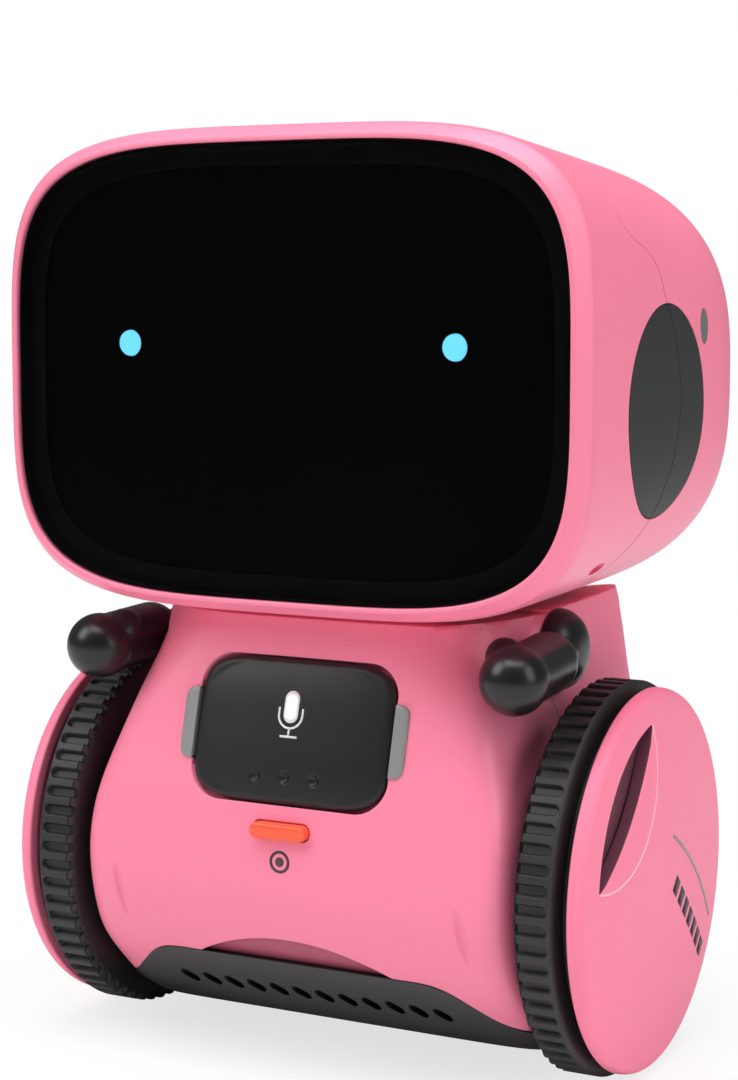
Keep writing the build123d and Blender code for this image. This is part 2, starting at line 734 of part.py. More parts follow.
with BuildPart() as door_screw:
    with BuildSketch(Plane.XY.offset(BELLY_Z + 0.15)):
        with Locations(DOOR_SCREW):
            Circle(1.9)
            RegularPolygon(0.8, 6, mode=Mode.SUBTRACT)
    extrude(amount=0.6)
    with BuildSketch(Plane.XY.offset(BELLY_Z + 0.5)):
        with Locations(DOOR_SCREW):
            Circle(1.0)
    extrude(amount=1.9)
save(door_screw.part, "battery_door_screw")

# ---- chest buttons, board and sound ----
with BuildPart() as voice_button:
    with BuildSketch(chest.offset(-SEAT_DEPTH + BUTTON_TRAVEL + 0.1)):
        RectangleRounded(2 * PANEL_HALF_WIDTH, 2 * PANEL_HALF_HEIGHT, PANEL_CORNER)
    extrude(amount=SEAT_DEPTH - BUTTON_TRAVEL - 0.1 + PANEL_PROUD)
    fillet(voice_button.faces().sort_by(Axis.Y)[0].edges(), 0.8)
    with BuildSketch(chest.offset(-PAD_DEPTH - 1.0)):
        with Locations(*STEM_PLACES):
            Circle(STEM_RADIUS)
    extrude(amount=PAD_DEPTH + 1.0)
    with BuildSketch(chest.offset(PANEL_PROUD - 0.4)):
        with Locations((0, -PANEL_HALF_HEIGHT * 0.63)):
            with GridLocations(4.2, 1, 3, 1):
                Circle(0.5)
    extrude(amount=2, mode=Mode.SUBTRACT)
save(voice_button.part, "voice_button")

with BuildPart() as light_bar:
    with BuildSketch(chest.offset(-SEAT_DEPTH - 0.85)):
        Rectangle(2 * BAR_HALF_WIDTH, 2 * BAR_HALF_HEIGHT)
        with Locations(*STEM_PLACES):
            Circle(STEM_RADIUS + 0.3, mode=Mode.SUBTRACT)
    extrude(amount=0.8)
    with BuildSketch(chest.offset(-SEAT_DEPTH - 0.5)):
        with GridLocations(2 * BAR_HALF_WIDTH - 1.5, 1, 2, 1):
            Rectangle(1.5, 2 * BAR_HALF_HEIGHT)
    extrude(amount=SEAT_DEPTH + 0.4)
save(light_bar.part, "chest_light_bar")

with BuildPart() as record_button:
    with BuildSketch(Plane.XZ.offset(-RECORD_FRONT)):
        with Locations((0, RECORD_Z)):
            SlotOverall(*RECORD_SIZE)
    extrude(amount=RECORD_FRONT + 22.4)
    fillet(record_button.faces().sort_by(Axis.Y)[0].edges(), 0.4)
    with BuildSketch(Plane.XZ.offset(22.6)):
        with Locations((0, RECORD_Z)):
            SlotOverall(RECORD_SIZE[0] + 2, RECORD_SIZE[1] + 1.6)
    extrude(amount=-1.0)
save(record_button.part, "record_button")

board_plane = chest.offset(-BOARD_DEPTH)
with BuildPart() as main_board:
    with BuildSketch(board_plane):
        with Locations((0, -3.2)):
            RectangleRounded(34, 20, 2)
    extrude(amount=-1.2)
save(main_board.part, "main_board")

with BuildPart() as voice_switches:
    with BuildSketch(board_plane.offset(SLIP)):
        with Locations(*STEM_PLACES):
            Rectangle(5, 5)
    extrude(amount=BOARD_DEPTH - PAD_DEPTH - 1.0 - BUTTON_TRAVEL - 0.4)
    fillet(voice_switches.edges().filter_by(Axis.Y, tolerance=20), 0.4)
save(voice_switches.part, "voice_switches")

with BuildPart() as record_switch:
    with BuildSketch(board_plane.offset(SLIP)):
        with Locations((0, -11.6)):
            Rectangle(5, 2.6)
    extrude(amount=2.2)
save(record_switch.part, "record_switch")

with BuildPart() as microphone:
    with BuildSketch(board_plane.offset(SLIP)):
        with Locations((0, -5.5)):
            Circle(2.2)
    extrude(amount=2.4)
    chamfer(microphone.faces().sort_by(Axis.Y)[0].edges(), 0.3)
save(microphone.part, "microphone")

speaker_plane = Plane(origin=(0, -12.2, 15.6), x_dir=(1, 0, 0), z_dir=(0, -0.79, -0.61))
with BuildPart() as speaker:
    with BuildSketch(speaker_plane.offset(-1.8)):
        Circle(6.2)
    extrude(amount=2.4)
    with BuildSketch(speaker_plane.offset(0.6)):
        Circle(7.4)
    extrude(amount=0.8)
    with BuildSketch(speaker_plane.offset(1.4)):
        Circle(7.4)
        Circle(6.2, mode=Mode.SUBTRACT)
    extrude(amount=0.6)
save(speaker.part, "speaker")

# ---- power ----
with BuildPart() as battery_cells:
    for y, z in CELL_PLACES:
        with BuildSketch(Plane.YZ.offset(-CELL_HALF_LENGTH)):
            with Locations((y, z)):
                Circle(CELL_RADIUS)
        extrude(amount=2 * CELL_HALF_LENGTH - 1)
        with BuildSketch(Plane.YZ.offset(CELL_HALF_LENGTH - 1)):
            with Locations((y, z)):
                Circle(1.9)
        extrude(amount=1)
save(battery_cells.part, "battery_cells")

with BuildPart() as battery_contacts:
    for x in (-CELL_HALF_LENGTH - 0.4, CELL_HALF_LENGTH + 0.1):
        for y, z in CELL_PLACES:
            with BuildSketch(Plane.YZ.offset(x)):
                with Locations((y, z)):
                    RectangleRounded(7, 7, 1)
            extrude(amount=0.3)
save(battery_contacts.part, "battery_contacts")

with BuildPart() as battery_holder:
    for x in (-CELL_HALF_LENGTH - 1.0, CELL_HALF_LENGTH + 0.5):
        with BuildSketch(Plane.YZ.offset(x)):
            with BuildLine():
                Polyline(
                    (-4.5, 6.4), (12.4, 6.4), (17.3, 12), (18.4, 16), (18.9, 27.6), (11.5, 27.6), (8.4, 17), (-4.5, 17),
                    close=True,
                )
            make_face()
        extrude(amount=0.5)
    # rails between the end walls
    for y, z in ((-3.9, 7.1), (17.8, 17.0), (8.2, 18.6)):
        with Locations((0, y, z)):
                Box(2 * CELL_HALF_LENGTH + 1.6, 1.0, 1.0)
save(battery_holder.part, "battery_holder")

with BuildPart() as switch_body:
    with Locations((0, 19.9, SWITCH_Z)):
        Box(12, 4, 5)
    with Locations((0, 21.4, SWITCH_Z)):
        Box(7.4, 3, 2.4, mode=Mode.SUBTRACT)
save(switch_body.part, "power_switch_body")

with BuildPart() as switch_slider:
    with Locations((-1.25, 22.5, SWITCH_Z)):
        Box(3.6, 4, 2.0)
    fillet(switch_slider.faces().sort_by(Axis.Y)[-1].edges(), 0.3)
save(switch_slider.part, "power_switch_slider")

# ---- roller at the back ----
with BuildPart() as roller_fork:
    with BuildSketch(Plane.YZ.offset(-FORK_HALF_WIDTH)):
        with BuildLine():
            Polyline(
                (FORK_FRONT, 12.4), (FORK_FRONT, ROLLER_RADIUS), (ROLLER_Y - 1.6, 1.8),
                (ROLLER_Y + 1.6, 1.8), (FORK_BACK, ROLLER_RADIUS), (FORK_BACK, 9.5),
                (FORK_BACK - 1.6, 12.4), close=True,
            )
        make_face()
    extrude(amount=2 * FORK_HALF_WIDTH)
    with Locations((0, ROLLER_Y, 3.6)):
        Box(2 * ROLLER_RADIUS, 10, 8, mode=Mode.SUBTRACT)
    with BuildSketch(Plane.YZ.offset(-FORK_HALF_WIDTH - 1)):
        with Locations((ROLLER_Y, ROLLER_RADIUS)):
            Circle(1.0)
    extrude(amount=2 * FORK_HALF_WIDTH + 2, mode=Mode.SUBTRACT)
save(roller_fork.part, "roller_fork")

with BuildPart() as roller_pin:
    with BuildSketch(Plane.YZ.offset(-FORK_HALF_WIDTH + 0.2)):
        with Locations((ROLLER_Y, ROLLER_RADIUS)):
            Circle(0.98)
    extrude(amount=2 * FORK_HALF_WIDTH - 0.4)
save(roller_pin.part, "roller_pin")

with BuildPart() as roller:
    with BuildSketch(Plane.YZ.offset(-3.1)):
        with Locations((ROLLER_Y, ROLLER_RADIUS)):
            Circle(ROLLER_RADIUS)
            Circle(0.98 + SLIP, mode=Mode.SUBTRACT)
    extrude(amount=6.2)
    fillet(roller.edges().filter_by(GeomType.CIRCLE).group_by(SortBy.RADIUS)[-1], 0.6)
save(roller.part, "roller")


# ---- arms: dome, forearm, hand and thumb moulded as one piece with the pivot pin ----
shoulder_plane = Plane(origin=(0, 0, SHOULDER_Z), x_dir=(0, 1, 0), z_dir=(1, 0, 0))
shoulder = Vector(FOREARM_X, 0, SHOULDER_Z)
hand = Vector(*HAND)
along = (hand - shoulder).normalized()
reach = (hand - shoulder).length
arm_plane = Plane(origin=shoulder, x_dir=along, z_dir=along.cross(Vector(0, 0, 1)))
wrist = reach - (HAND_RADIUS**2 - FOREARM_RADIUS**2) ** 0.5
PIN_END_X = SHOULDER_SEAT - 0.9
DOME_TOP_X = SHOULDER_BASE_X + SHOULDER_DOME

with BuildPart() as arm:
    # dome and pin, turned about the shoulder's axis
    with BuildSketch(Plane.XY.offset(SHOULDER_Z)):
        with BuildLine():
            Polyline(
                (DOME_TOP_X, 0), (PIN_END_X, 0), (PIN_END_X, ARM_PIN_RADIUS),
                (SHOULDER_BASE_X, ARM_PIN_RADIUS), (SHOULDER_BASE_X, SHOULDER_RADIUS - 0.2),
                (SHOULDER_BASE_X + 0.4, SHOULDER_RADIUS),
            )
            ThreePointArc(
                (SHOULDER_BASE_X + 0.4, SHOULDER_RADIUS),
                (SHOULDER_BASE_X + 0.78 * SHOULDER_DOME, 0.62 * SHOULDER_RADIUS),
                (DOME_TOP_X, 0),
            )
        make_face()
    revolve(axis=Axis((0, 0, SHOULDER_Z), (1, 0, 0)))
    # forearm and hand, turned about the line from shoulder to hand
    with BuildSketch(arm_plane):
        with BuildLine():
            Line((wrist, FOREARM_RADIUS), (ELBOW, FOREARM_RADIUS))
            ThreePointArc(
                (ELBOW, FOREARM_RADIUS),
                (ELBOW - FOREARM_RADIUS * cos(pi / 4), FOREARM_RADIUS * sin(pi / 4)),
                (ELBOW - FOREARM_RADIUS, 0),
            )
            Line((ELBOW - FOREARM_RADIUS, 0), (reach + HAND_RADIUS, 0))
            ThreePointArc((wrist, FOREARM_RADIUS), (reach, HAND_RADIUS), (reach + HAND_RADIUS, 0))
        make_face()
    revolve(axis=Axis(shoulder, along))
    with BuildSketch(Plane(origin=THUMB, x_dir=(1, 0, 0), z_dir=(0, 0, 1))):
        with BuildLine():
            Line((0, -THUMB_RADIUS), (0, THUMB_RADIUS))
            ThreePointArc((0, THUMB_RADIUS), (THUMB_RADIUS, 0), (0, -THUMB_RADIUS))
        make_face()
    revolve(axis=Axis(THUMB, (0, 1, 0)))
    add(rod(shoulder_plane, 0.8, 20.0, 25.5), mode=Mode.SUBTRACT)
save_pair(arm.part, "arm")

with BuildPart() as arm_screw:
    add(rod(shoulder_plane, 0.75, 20.2, 25.0))
    add(rod(shoulder_plane, 1.7, 20.1, 21.6))
    # flange that keeps the arm from pulling out
    add(rod(shoulder_plane, 2.4, 21.5, PIN_END_X - SLIP))
save_pair(arm_screw.part, "arm_screw")


# ---- wheels and drive ----
def gear_face(teeth, turn):
    """Spur gear outline: straight-flanked teeth with backlash."""
    pitch = MODULE * teeth / 2
    tip = pitch + 0.9 * MODULE
    root = pitch - 1.2 * MODULE
    step = 2 * pi / teeth
    corners = []
    for tooth in range(teeth):
        middle = tooth * step + turn
        for radius, share in ((root, -0.33), (tip, -0.11), (tip, 0.11), (root, 0.33)):
            angle = middle + share * step
            corners.append((radius * cos(angle), radius * sin(angle)))
    with BuildSketch() as face:
        with BuildLine():
            Polyline(*corners, close=True)
        make_face()
    return face.sketch


axle_plane = Plane(origin=(0, 0, AXLE_Z), x_dir=(0, 1, 0), z_dir=(1, 0, 0))
motor_plane = Plane(origin=(0, 0, MOTOR_Z), x_dir=(0, 1, 0), z_dir=(1, 0, 0))
TYRE_MIDDLE_X = (TYRE_OUTER_X + TYRE_INNER_X) / 2
TYRE_WIDTH = TYRE_OUTER_X - TYRE_INNER_X

with BuildPart() as tyre:
    add(rod(axle_plane, WHEEL_RADIUS, TYRE_INNER_X, TYRE_OUTER_X, TYRE_BORE))
    fillet(tyre.edges().filter_by(GeomType.CIRCLE).group_by(SortBy.RADIUS)[-1], 1.1)
    with Locations(axle_plane.offset(TYRE_MIDDLE_X)):
        with PolarLocations(WHEEL_RADIUS, GROOVE_COUNT, start_angle=0.5 * 360 / GROOVE_COUNT):
            Box(1.8, 1.05, TYRE_WIDTH - 1.3, mode=Mode.SUBTRACT)
save_pair(tyre.part, "tyre")

with BuildPart() as rim:
    add(rod(axle_plane, TYRE_BORE - 0.02, TYRE_INNER_X + 0.3, TYRE_OUTER_X + 0.2))
    add(rod(axle_plane, TYRE_BORE + 1.4, TYRE_OUTER_X + 0.05, CAP_X - 0.05))
    add(rod(axle_plane, 18.4, TYRE_INNER_X - 1, CAP_X - 3.0, 5.0), mode=Mode.SUBTRACT)
    add(rod(axle_plane, AXLE_RADIUS, TYRE_INNER_X - 1, CAP_X + 1), mode=Mode.SUBTRACT)
save_pair(rim.part, "rim")

CAP_FACE_X = CAP_X + 2.0
with BuildPart() as cap_disc:
    with BuildSketch(Plane.XZ):
        with BuildLine():
            Line((0, CAP_X + 1.6), (0, CAP_X + CAP_DOME))
            ThreePointArc(
                (0, CAP_X + CAP_DOME),
                (CAP_RADIUS * 0.5, CAP_X + CAP_DOME - 0.4),
                (CAP_RADIUS - 1.0, CAP_FACE_X),
            )
            ThreePointArc(
                (CAP_RADIUS - 1.0, CAP_FACE_X),
                (CAP_RADIUS - 0.3, CAP_FACE_X - 0.35),
                (CAP_RADIUS, CAP_FACE_X - 1.1),
            )
            Polyline(
                (CAP_RADIUS, CAP_FACE_X - 1.1), (CAP_RADIUS, CAP_X), (CAP_RADIUS - 1.6, CAP_X),
                (CAP_RADIUS - 1.8, CAP_X + 0.6), (4, CAP_X + 1.6), (0, CAP_X + 1.6),
            )
        make_face()
    revolve(axis=Axis.Z)
turned_cap = cap_disc.part.rotate(Axis.Y, 90).translate((0, 0, AXLE_Z))

with BuildPart() as wheel_cap:
    add(turned_cap)
    # leaf-shaped slot near the front edge
    with BuildSketch(axle_plane.offset(CAP_X - 1)):
        with BuildLine():
            ThreePointArc((0.0, 19.6), (-12.4, 14.4), (-18.4, 2.4))
            ThreePointArc((-18.4, 2.4), (-8.4, 9.8), (0.0, 19.6))
        make_face()
    extrude(amount=8, mode=Mode.SUBTRACT)
save_pair(wheel_cap.part, "wheel_cap")

with BuildPart() as axle:
    add(rod(axle_plane, AXLE_RADIUS - 0.01, 17.5, CAP_X - 0.5))
    chamfer(axle.edges().filter_by(GeomType.CIRCLE), 0.2)
save_pair(axle.part, "axle")

with BuildPart() as axle_gear:
    with BuildSketch(axle_plane.offset(GEAR_X - GEAR_WIDTH / 2)):
        add(gear_face(AXLE_TEETH, 0.0))
        Circle(AXLE_RADIUS, mode=Mode.SUBTRACT)
        with PolarLocations(7, 5):
            Circle(2.4, mode=Mode.SUBTRACT)
    extrude(amount=GEAR_WIDTH)
save_pair(axle_gear.part, "axle_gear")

with BuildPart() as axle_bush:
    add(rod(axle_plane, BEARING_RADIUS, 26.6, 31.4))
    add(rod(axle_plane, BEARING_RADIUS + 1.2, 30.85, 31.4))
    add(rod(axle_plane, AXLE_RADIUS - 0.01 + SLIP, 26, 32), mode=Mode.SUBTRACT)
save_twin(axle_bush.part, "axle_bushes")

with BuildPart() as motor:
    add(rod(motor_plane, MOTOR_RADIUS, 1.6, 17.4))
    chamfer(motor.edges().filter_by(GeomType.CIRCLE), 0.6)
    add(rod(motor_plane, 2.4, 17.4, 18.4))
save_pair(motor.part, "motor")

with BuildPart() as pinion:
    with BuildSketch(motor_plane.offset(GEAR_X - GEAR_WIDTH / 2 - 0.1)):
        add(gear_face(PINION_TEETH, pi / PINION_TEETH))
    extrude(amount=GEAR_WIDTH + 0.1)
    add(rod(motor_plane, 0.75, 18.45, GEAR_X + GEAR_WIDTH / 2))
save_pair(pinion.part, "motor_pinion")

with BuildPart() as gear_frame:
    with BuildSketch(axle_plane.offset(19.0)):
        with BuildLine():
            Polyline((-7, -4), (7, -4), (7.9, 14), (6, 22.4), (-6, 22.4), (-7.9, 14), close=True)
        make_face()
        Circle(AXLE_RADIUS - 0.01 + SLIP, mode=Mode.SUBTRACT)
        with Locations((0, GEAR_CENTRES)):
            Circle(0.75 + SLIP, mode=Mode.SUBTRACT)
    extrude(amount=1.6)
save_twin(gear_frame.part, "gear_frames")
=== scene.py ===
import json
import math
import bmesh
import bpy
import numpy as np
from mathutils import Matrix, Vector

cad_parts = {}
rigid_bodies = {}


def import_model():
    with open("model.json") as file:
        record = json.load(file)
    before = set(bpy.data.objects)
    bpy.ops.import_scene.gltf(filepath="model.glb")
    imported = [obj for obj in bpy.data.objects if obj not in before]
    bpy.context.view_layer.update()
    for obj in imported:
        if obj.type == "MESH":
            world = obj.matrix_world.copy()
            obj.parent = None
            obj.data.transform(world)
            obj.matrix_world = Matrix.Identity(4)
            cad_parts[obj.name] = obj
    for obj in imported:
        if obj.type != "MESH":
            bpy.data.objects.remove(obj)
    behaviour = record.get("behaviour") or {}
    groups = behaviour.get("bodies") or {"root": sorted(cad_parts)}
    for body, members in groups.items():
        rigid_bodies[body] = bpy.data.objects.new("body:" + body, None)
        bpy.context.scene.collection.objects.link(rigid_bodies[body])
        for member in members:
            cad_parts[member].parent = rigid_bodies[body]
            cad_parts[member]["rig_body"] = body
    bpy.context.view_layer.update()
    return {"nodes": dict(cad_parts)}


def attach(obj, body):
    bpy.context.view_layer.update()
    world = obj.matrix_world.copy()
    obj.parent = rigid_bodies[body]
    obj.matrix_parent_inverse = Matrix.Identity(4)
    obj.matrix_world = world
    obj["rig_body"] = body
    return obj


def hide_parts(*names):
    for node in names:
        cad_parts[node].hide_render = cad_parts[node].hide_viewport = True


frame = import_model()

# Shapes are worked out in millimetres, in the robot's frame, and made in metres.
MM = 0.001
# a CAD face this close to the wanted surface, in a zone of fine detail, is taken as part of it
DENT_NEAR = 0.8

# ---------------------------------------------------------------- materials


def procedural(name, colour, rough=0.4, spread=0.06, grain=0.1, grain_size=2600.0, coat=0.0,
               edge=0.12, metal=0.0, glow=0.0, clear=0.0, round_edge=0.25, shine=0.5,
               bend=1.5):
    """Moulded finish: blotchy colour and roughness, fine grain, softened edges that are a little lighter."""
    m = bpy.data.materials.new(name)
    m.use_nodes = True
    nodes, links = m.node_tree.nodes, m.node_tree.links
    bsdf = nodes["Principled BSDF"]
    where = nodes.new("ShaderNodeTexCoord")

    def noise(scale, detail):
        n = nodes.new("ShaderNodeTexNoise")
        n.inputs["Scale"].default_value = scale
        n.inputs["Detail"].default_value = detail
        links.new(where.outputs["Object"], n.inputs["Vector"])
        return n

    broad = noise(45.0, 3.0)
    fine = noise(grain_size, 2.0)
    mix = nodes.new("ShaderNodeMix")
    mix.data_type = "RGBA"
    mix.inputs[6].default_value = (*[c * (1 - spread) for c in colour], 1)
    mix.inputs[7].default_value = (*[min(1.0, c * (1 + spread)) for c in colour], 1)
    links.new(broad.outputs["Fac"], mix.inputs[0])
    # edges, found from the difference between the plain and the rounded normal, are a little lighter
    bevel = nodes.new("ShaderNodeBevel")
    bevel.samples = 4
    bevel.inputs["Radius"].default_value = round_edge * MM
    plain = nodes.new("ShaderNodeNewGeometry")
    dot = nodes.new("ShaderNodeVectorMath")
    dot.operation = "DOT_PRODUCT"
    links.new(bevel.outputs["Normal"], dot.inputs[0])
    links.new(plain.outputs["Normal"], dot.inputs[1])
    lighter_edge_share = nodes.new("ShaderNodeMapRange")
    lighter_edge_share.inputs["From Min"].default_value = 0.97
    lighter_edge_share.inputs["From Max"].default_value = 0.8
    lighter_edge_share.inputs["To Max"].default_value = edge
    links.new(dot.outputs["Value"], lighter_edge_share.inputs["Value"])
    lift = nodes.new("ShaderNodeMix")
    lift.data_type = "RGBA"
    lift.inputs[7].default_value = (*[min(1.0, c * 1.3 + 0.06) for c in colour], 1)
    links.new(lighter_edge_share.outputs["Result"], lift.inputs[0])
    links.new(mix.outputs[2], lift.inputs[6])
    links.new(lift.outputs[2], bsdf.inputs["Base Color"])
    gloss = nodes.new("ShaderNodeMapRange")
    gloss.inputs["To Min"].default_value = rough * 0.88
    gloss.inputs["To Max"].default_value = min(1.0, rough * 1.12)
    links.new(broad.outputs["Fac"], gloss.inputs["Value"])
    links.new(gloss.outputs["Result"], bsdf.inputs["Roughness"])
    bsdf.inputs["Specular IOR Level"].default_value = shine
    bsdf.inputs["IOR"].default_value = bend
    bump = nodes.new("ShaderNodeBump")
    bump.inputs["Strength"].default_value = grain
    bump.inputs["Distance"].default_value = 0.00004
    links.new(fine.outputs["Fac"], bump.inputs["Height"])
    links.new(bevel.outputs["Normal"], bump.inputs["Normal"])
    links.new(bump.outputs["Normal"], bsdf.inputs["Normal"])
    bsdf.inputs["Metallic"].default_value = metal
    bsdf.inputs["Coat Weight"].default_value = coat
    bsdf.inputs["Coat Roughness"].default_value = 0.08
    bsdf.inputs["Transmission Weight"].default_value = clear
    if glow:
        bsdf.inputs["Emission Strength"].default_value = glow
        links.new(mix.outputs[2], bsdf.inputs["Emission Color"])
    return m


PINK = (0.96, 0.235, 0.36)
BLACK = (0.02, 0.02, 0.02)
FINISH = {
    "shell_pink": procedural("shell_pink", PINK, 0.42, 0.02, 0.12, coat=0.05),
    "cap_pink": procedural("cap_pink", PINK, 0.45, 0.02, 0.08, coat=0.0, shine=0.3),
    "black_satin": procedural("black_satin", BLACK, 0.36, 0.15, 0.14, coat=0.05),
    "screen": procedural("screen", (0.5, 0.5, 0.52), 0.05, 0.03, 0.0, clear=1.0, edge=0.0, shine=0.1,
                         bend=1.04),
    "mask_black": procedural("mask_black", (0.009, 0.009, 0.0092), 1.0, 0.2, 0.0, edge=0.0, shine=0.0),
    "eye_glow": procedural("eye_glow", (0.16, 0.68, 1.0), 0.4, 0.03, 0.05, glow=1.9, edge=0.0),
    "ear_grey": procedural("ear_grey", (0.022, 0.023, 0.0225), 0.5, 0.12, 0.12, shine=0.3),
    "lens_grey": procedural("lens_grey", (0.15, 0.165, 0.155), 0.25, 0.1, 0.05, coat=0.4),
    "orange": procedural("orange", (0.95, 0.1, 0.03), 0.33, 0.04, 0.06, coat=0.2),
    "light_guide": procedural("light_guide", (0.25, 0.26, 0.25), 0.35, 0.06, 0.08, coat=0.2),
    "tyre": procedural("tyre", (0.014, 0.014, 0.0145), 0.5, 0.2, 0.5, 1400.0),
    "rim_black": procedural("rim_black", (0.016, 0.016, 0.017), 0.45, 0.15, 0.15),
    "board": procedural("board", (0.015, 0.13, 0.05), 0.35, 0.2, 0.2, 900.0),
    "switch_black": procedural("switch_black", (0.025, 0.025, 0.026), 0.45, 0.15, 0.15),
    "steel": procedural("steel", (0.55, 0.55, 0.56), 0.3, 0.08, 0.2, metal=1.0),
    "motor_can": procedural("motor_can", (0.5, 0.51, 0.52), 0.35, 0.08, 0.2, metal=1.0),
    "white_plastic": procedural("white_plastic", (0.74, 0.74, 0.71), 0.4, 0.04, 0.12),
    "cell": procedural("cell", (0.08, 0.1, 0.12), 0.3, 0.1, 0.05, coat=0.3),
    "contact": procedural("contact", (0.72, 0.6, 0.34), 0.35, 0.1, 0.15, metal=1.0),
    "copper": procedural("copper", (0.75, 0.36, 0.2), 0.35, 0.1, 0.1, metal=1.0),
    "cable": procedural("cable", (0.03, 0.03, 0.03), 0.55, 0.15, 0.3, 1500.0),
    "speaker": procedural("speaker", (0.03, 0.03, 0.03), 0.6, 0.2, 0.3, 1500.0),
}
PANEL_BLACK = procedural("panel_black", (0.011, 0.011, 0.011), 0.42, 0.15, 0.12, edge=0.06, shine=0.35)
ARM_BLACK = procedural("arm_black", (0.007, 0.007, 0.007), 0.3, 0.15, 0.1, edge=0.0, shine=0.45)
# white print, with a slight painted glow
PRINT_WHITE_PAINTED_GLOW = procedural("print_white", (0.97, 0.97, 0.97), 0.45, 0.02, 0.1, edge=0.0, glow=0.12)
PRINT_DARK = procedural("print_dark", (0.07, 0.045, 0.05), 0.45, 0.1, 0.1, edge=0.0)
PRINT_GREY = procedural("print_grey", (0.46, 0.4, 0.42), 0.4, 0.08, 0.1, edge=0.0)
# painted shade: a dark pink for the walls and the floor of the openings in the wheel caps
PAINTED_SHADE_SLOT_PINK = procedural("slot_pink", (0.15, 0.045, 0.07), 0.6, 0.05, 0.1, edge=0.0, shine=0.2)
# painted highlight: a light pink with a glow, for the line along the crease of the cap's bevel
PAINTED_HIGHLIGHT_PINK = procedural("crease_pink", (1.0, 0.5, 0.6), 0.35, 0.02, 0.05, edge=0.0, glow=0.3)
# painted shade: a darker pink for the crescent recess above the bumper
PAINTED_SHADE_PINK = procedural("shaded_pink", (0.42, 0.085, 0.14), 0.5, 0.03, 0.1, edge=0.0)

# ---------------------------------------------------------------- mesh helpers


def new_mesh(name, points, faces):
    mesh = bpy.data.meshes.new(name)
    mesh.from_pydata([tuple(float(c) * MM for c in p) for p in points], [], [list(f) for f in faces])
    mesh.update()
    obj = bpy.data.objects.new(name, mesh)
    bpy.context.collection.objects.link(obj)
    return obj


def fix_normals(obj):
    bm = bmesh.new()
    bm.from_mesh(obj.data)
    bmesh.ops.remove_doubles(bm, verts=bm.verts, dist=1e-7)
    bmesh.ops.recalc_face_normals(bm, faces=bm.faces)
    bm.to_mesh(obj.data)
    bm.free()


def shade(obj, angle=32.0):
    obj.data.polygons.foreach_set("use_smooth", [True] * len(obj.data.polygons))
    obj.data.set_sharp_from_angle(angle=math.radians(angle))


def rings_mesh(name, rings, closed=False):
    """Skin over rings of equal length. closed joins the last ring to the first."""
    rings = [np.asarray(r, float) for r in rings]
    count, sides = len(rings), len(rings[0])
    points = np.concatenate(rings)
    faces = []
    for i in range(count if closed else count - 1):
        a, b = i * sides, ((i + 1) % count) * sides
        faces += [(a + j, a + (j + 1) % sides, b + (j + 1) % sides, b + j) for j in range(sides)]
    if not closed:
        faces.append(tuple(range(sides))[::-1])
        faces.append(tuple((count - 1) * sides + j for j in range(sides)))
    obj = new_mesh(name, points, faces)
    fix_normals(obj)
    return obj


def prism(name, outline, axis, start, end):
    """Straight prism: outline holds pairs of the two other coordinates, in order."""
    def place(a, b, c):
        return {0: (c, a, b), 1: (a, c, b), 2: (a, b, c)}[axis]
    return rings_mesh(name, [[place(a, b, c) for a, b in outline] for c in (start, end)])


def circle(cx, cy, rx, ry=None, steps=96):
    ry = rx if ry is None else ry
    return [(cx + rx * math.cos(2 * math.pi * k / steps), cy + ry * math.sin(2 * math.pi * k / steps))
            for k in range(steps)]


def boolean(obj, cutter, operation="DIFFERENCE"):
    mod = obj.modifiers.new("cut", "BOOLEAN")
    mod.operation = operation
    mod.solver = "EXACT"
    mod.object = cutter
    made = bpy.data.meshes.new_from_object(obj.evaluated_get(bpy.context.evaluated_depsgraph_get()))
    obj.modifiers.remove(mod)
    old = obj.data
    obj.data = made
    bpy.data.meshes.remove(old)
    return obj


def copy_of(obj, name):
    other = bpy.data.objects.new(name, obj.data.copy())
    bpy.context.collection.objects.link(other)
    return other


def discard(*objs):
    for o in objs:
        bpy.data.objects.remove(o, do_unlink=True)


def joined(name, objs):
    bm = bmesh.new()
    for o in objs:
        bm.from_mesh(o.data)
    mesh = bpy.data.meshes.new(name)
    bm.to_mesh(mesh)
    bm.free()
    discard(*objs)
    obj = bpy.data.objects.new(name, mesh)
    bpy.context.collection.objects.link(obj)
    return obj


def mirrored(obj, name):
    other = copy_of(obj, name)
    other.data.transform(Matrix.Scale(-1, 4, (1, 0, 0)))
    other.data.flip_normals()
    return other


def gradient(value, p, step=0.02):
    g = np.zeros_like(p)
    for k in range(3):
        d = np.zeros(3)
        d[k] = step
        g[:, k] = (value(p + d) - value(p - d)) / (2 * step)
    return g


def skin_normals(obj, value, near=0.3):
    """Exact normals where a face lies on the surface value = 0, which hides the facets."""
    shade(obj)
    mesh = obj.data
    co = np.empty(len(mesh.vertices) * 3, np.float32)
    mesh.vertices.foreach_get("co", co)
    p = co.reshape(-1, 3).astype(float) / MM
    g = gradient(value, p)
    size = np.linalg.norm(g, axis=1)
    size[size < 1e-9] = 1e-9
    normal = g / size[:, None]
    on = np.abs(value(p) / size) < near
    custom = [(0.0, 0.0, 0.0)] * len(mesh.loops)
    for poly in mesh.polygons:
        n = np.array(poly.normal)
        ids = list(poly.vertices)
        if not on[ids].all() or (normal[ids] @ n).min() < 0.8:
            continue
        for loop in poly.loop_indices:
            custom[loop] = tuple(normal[mesh.loops[loop].vertex_index])
    mesh.normals_split_custom_set(custom)


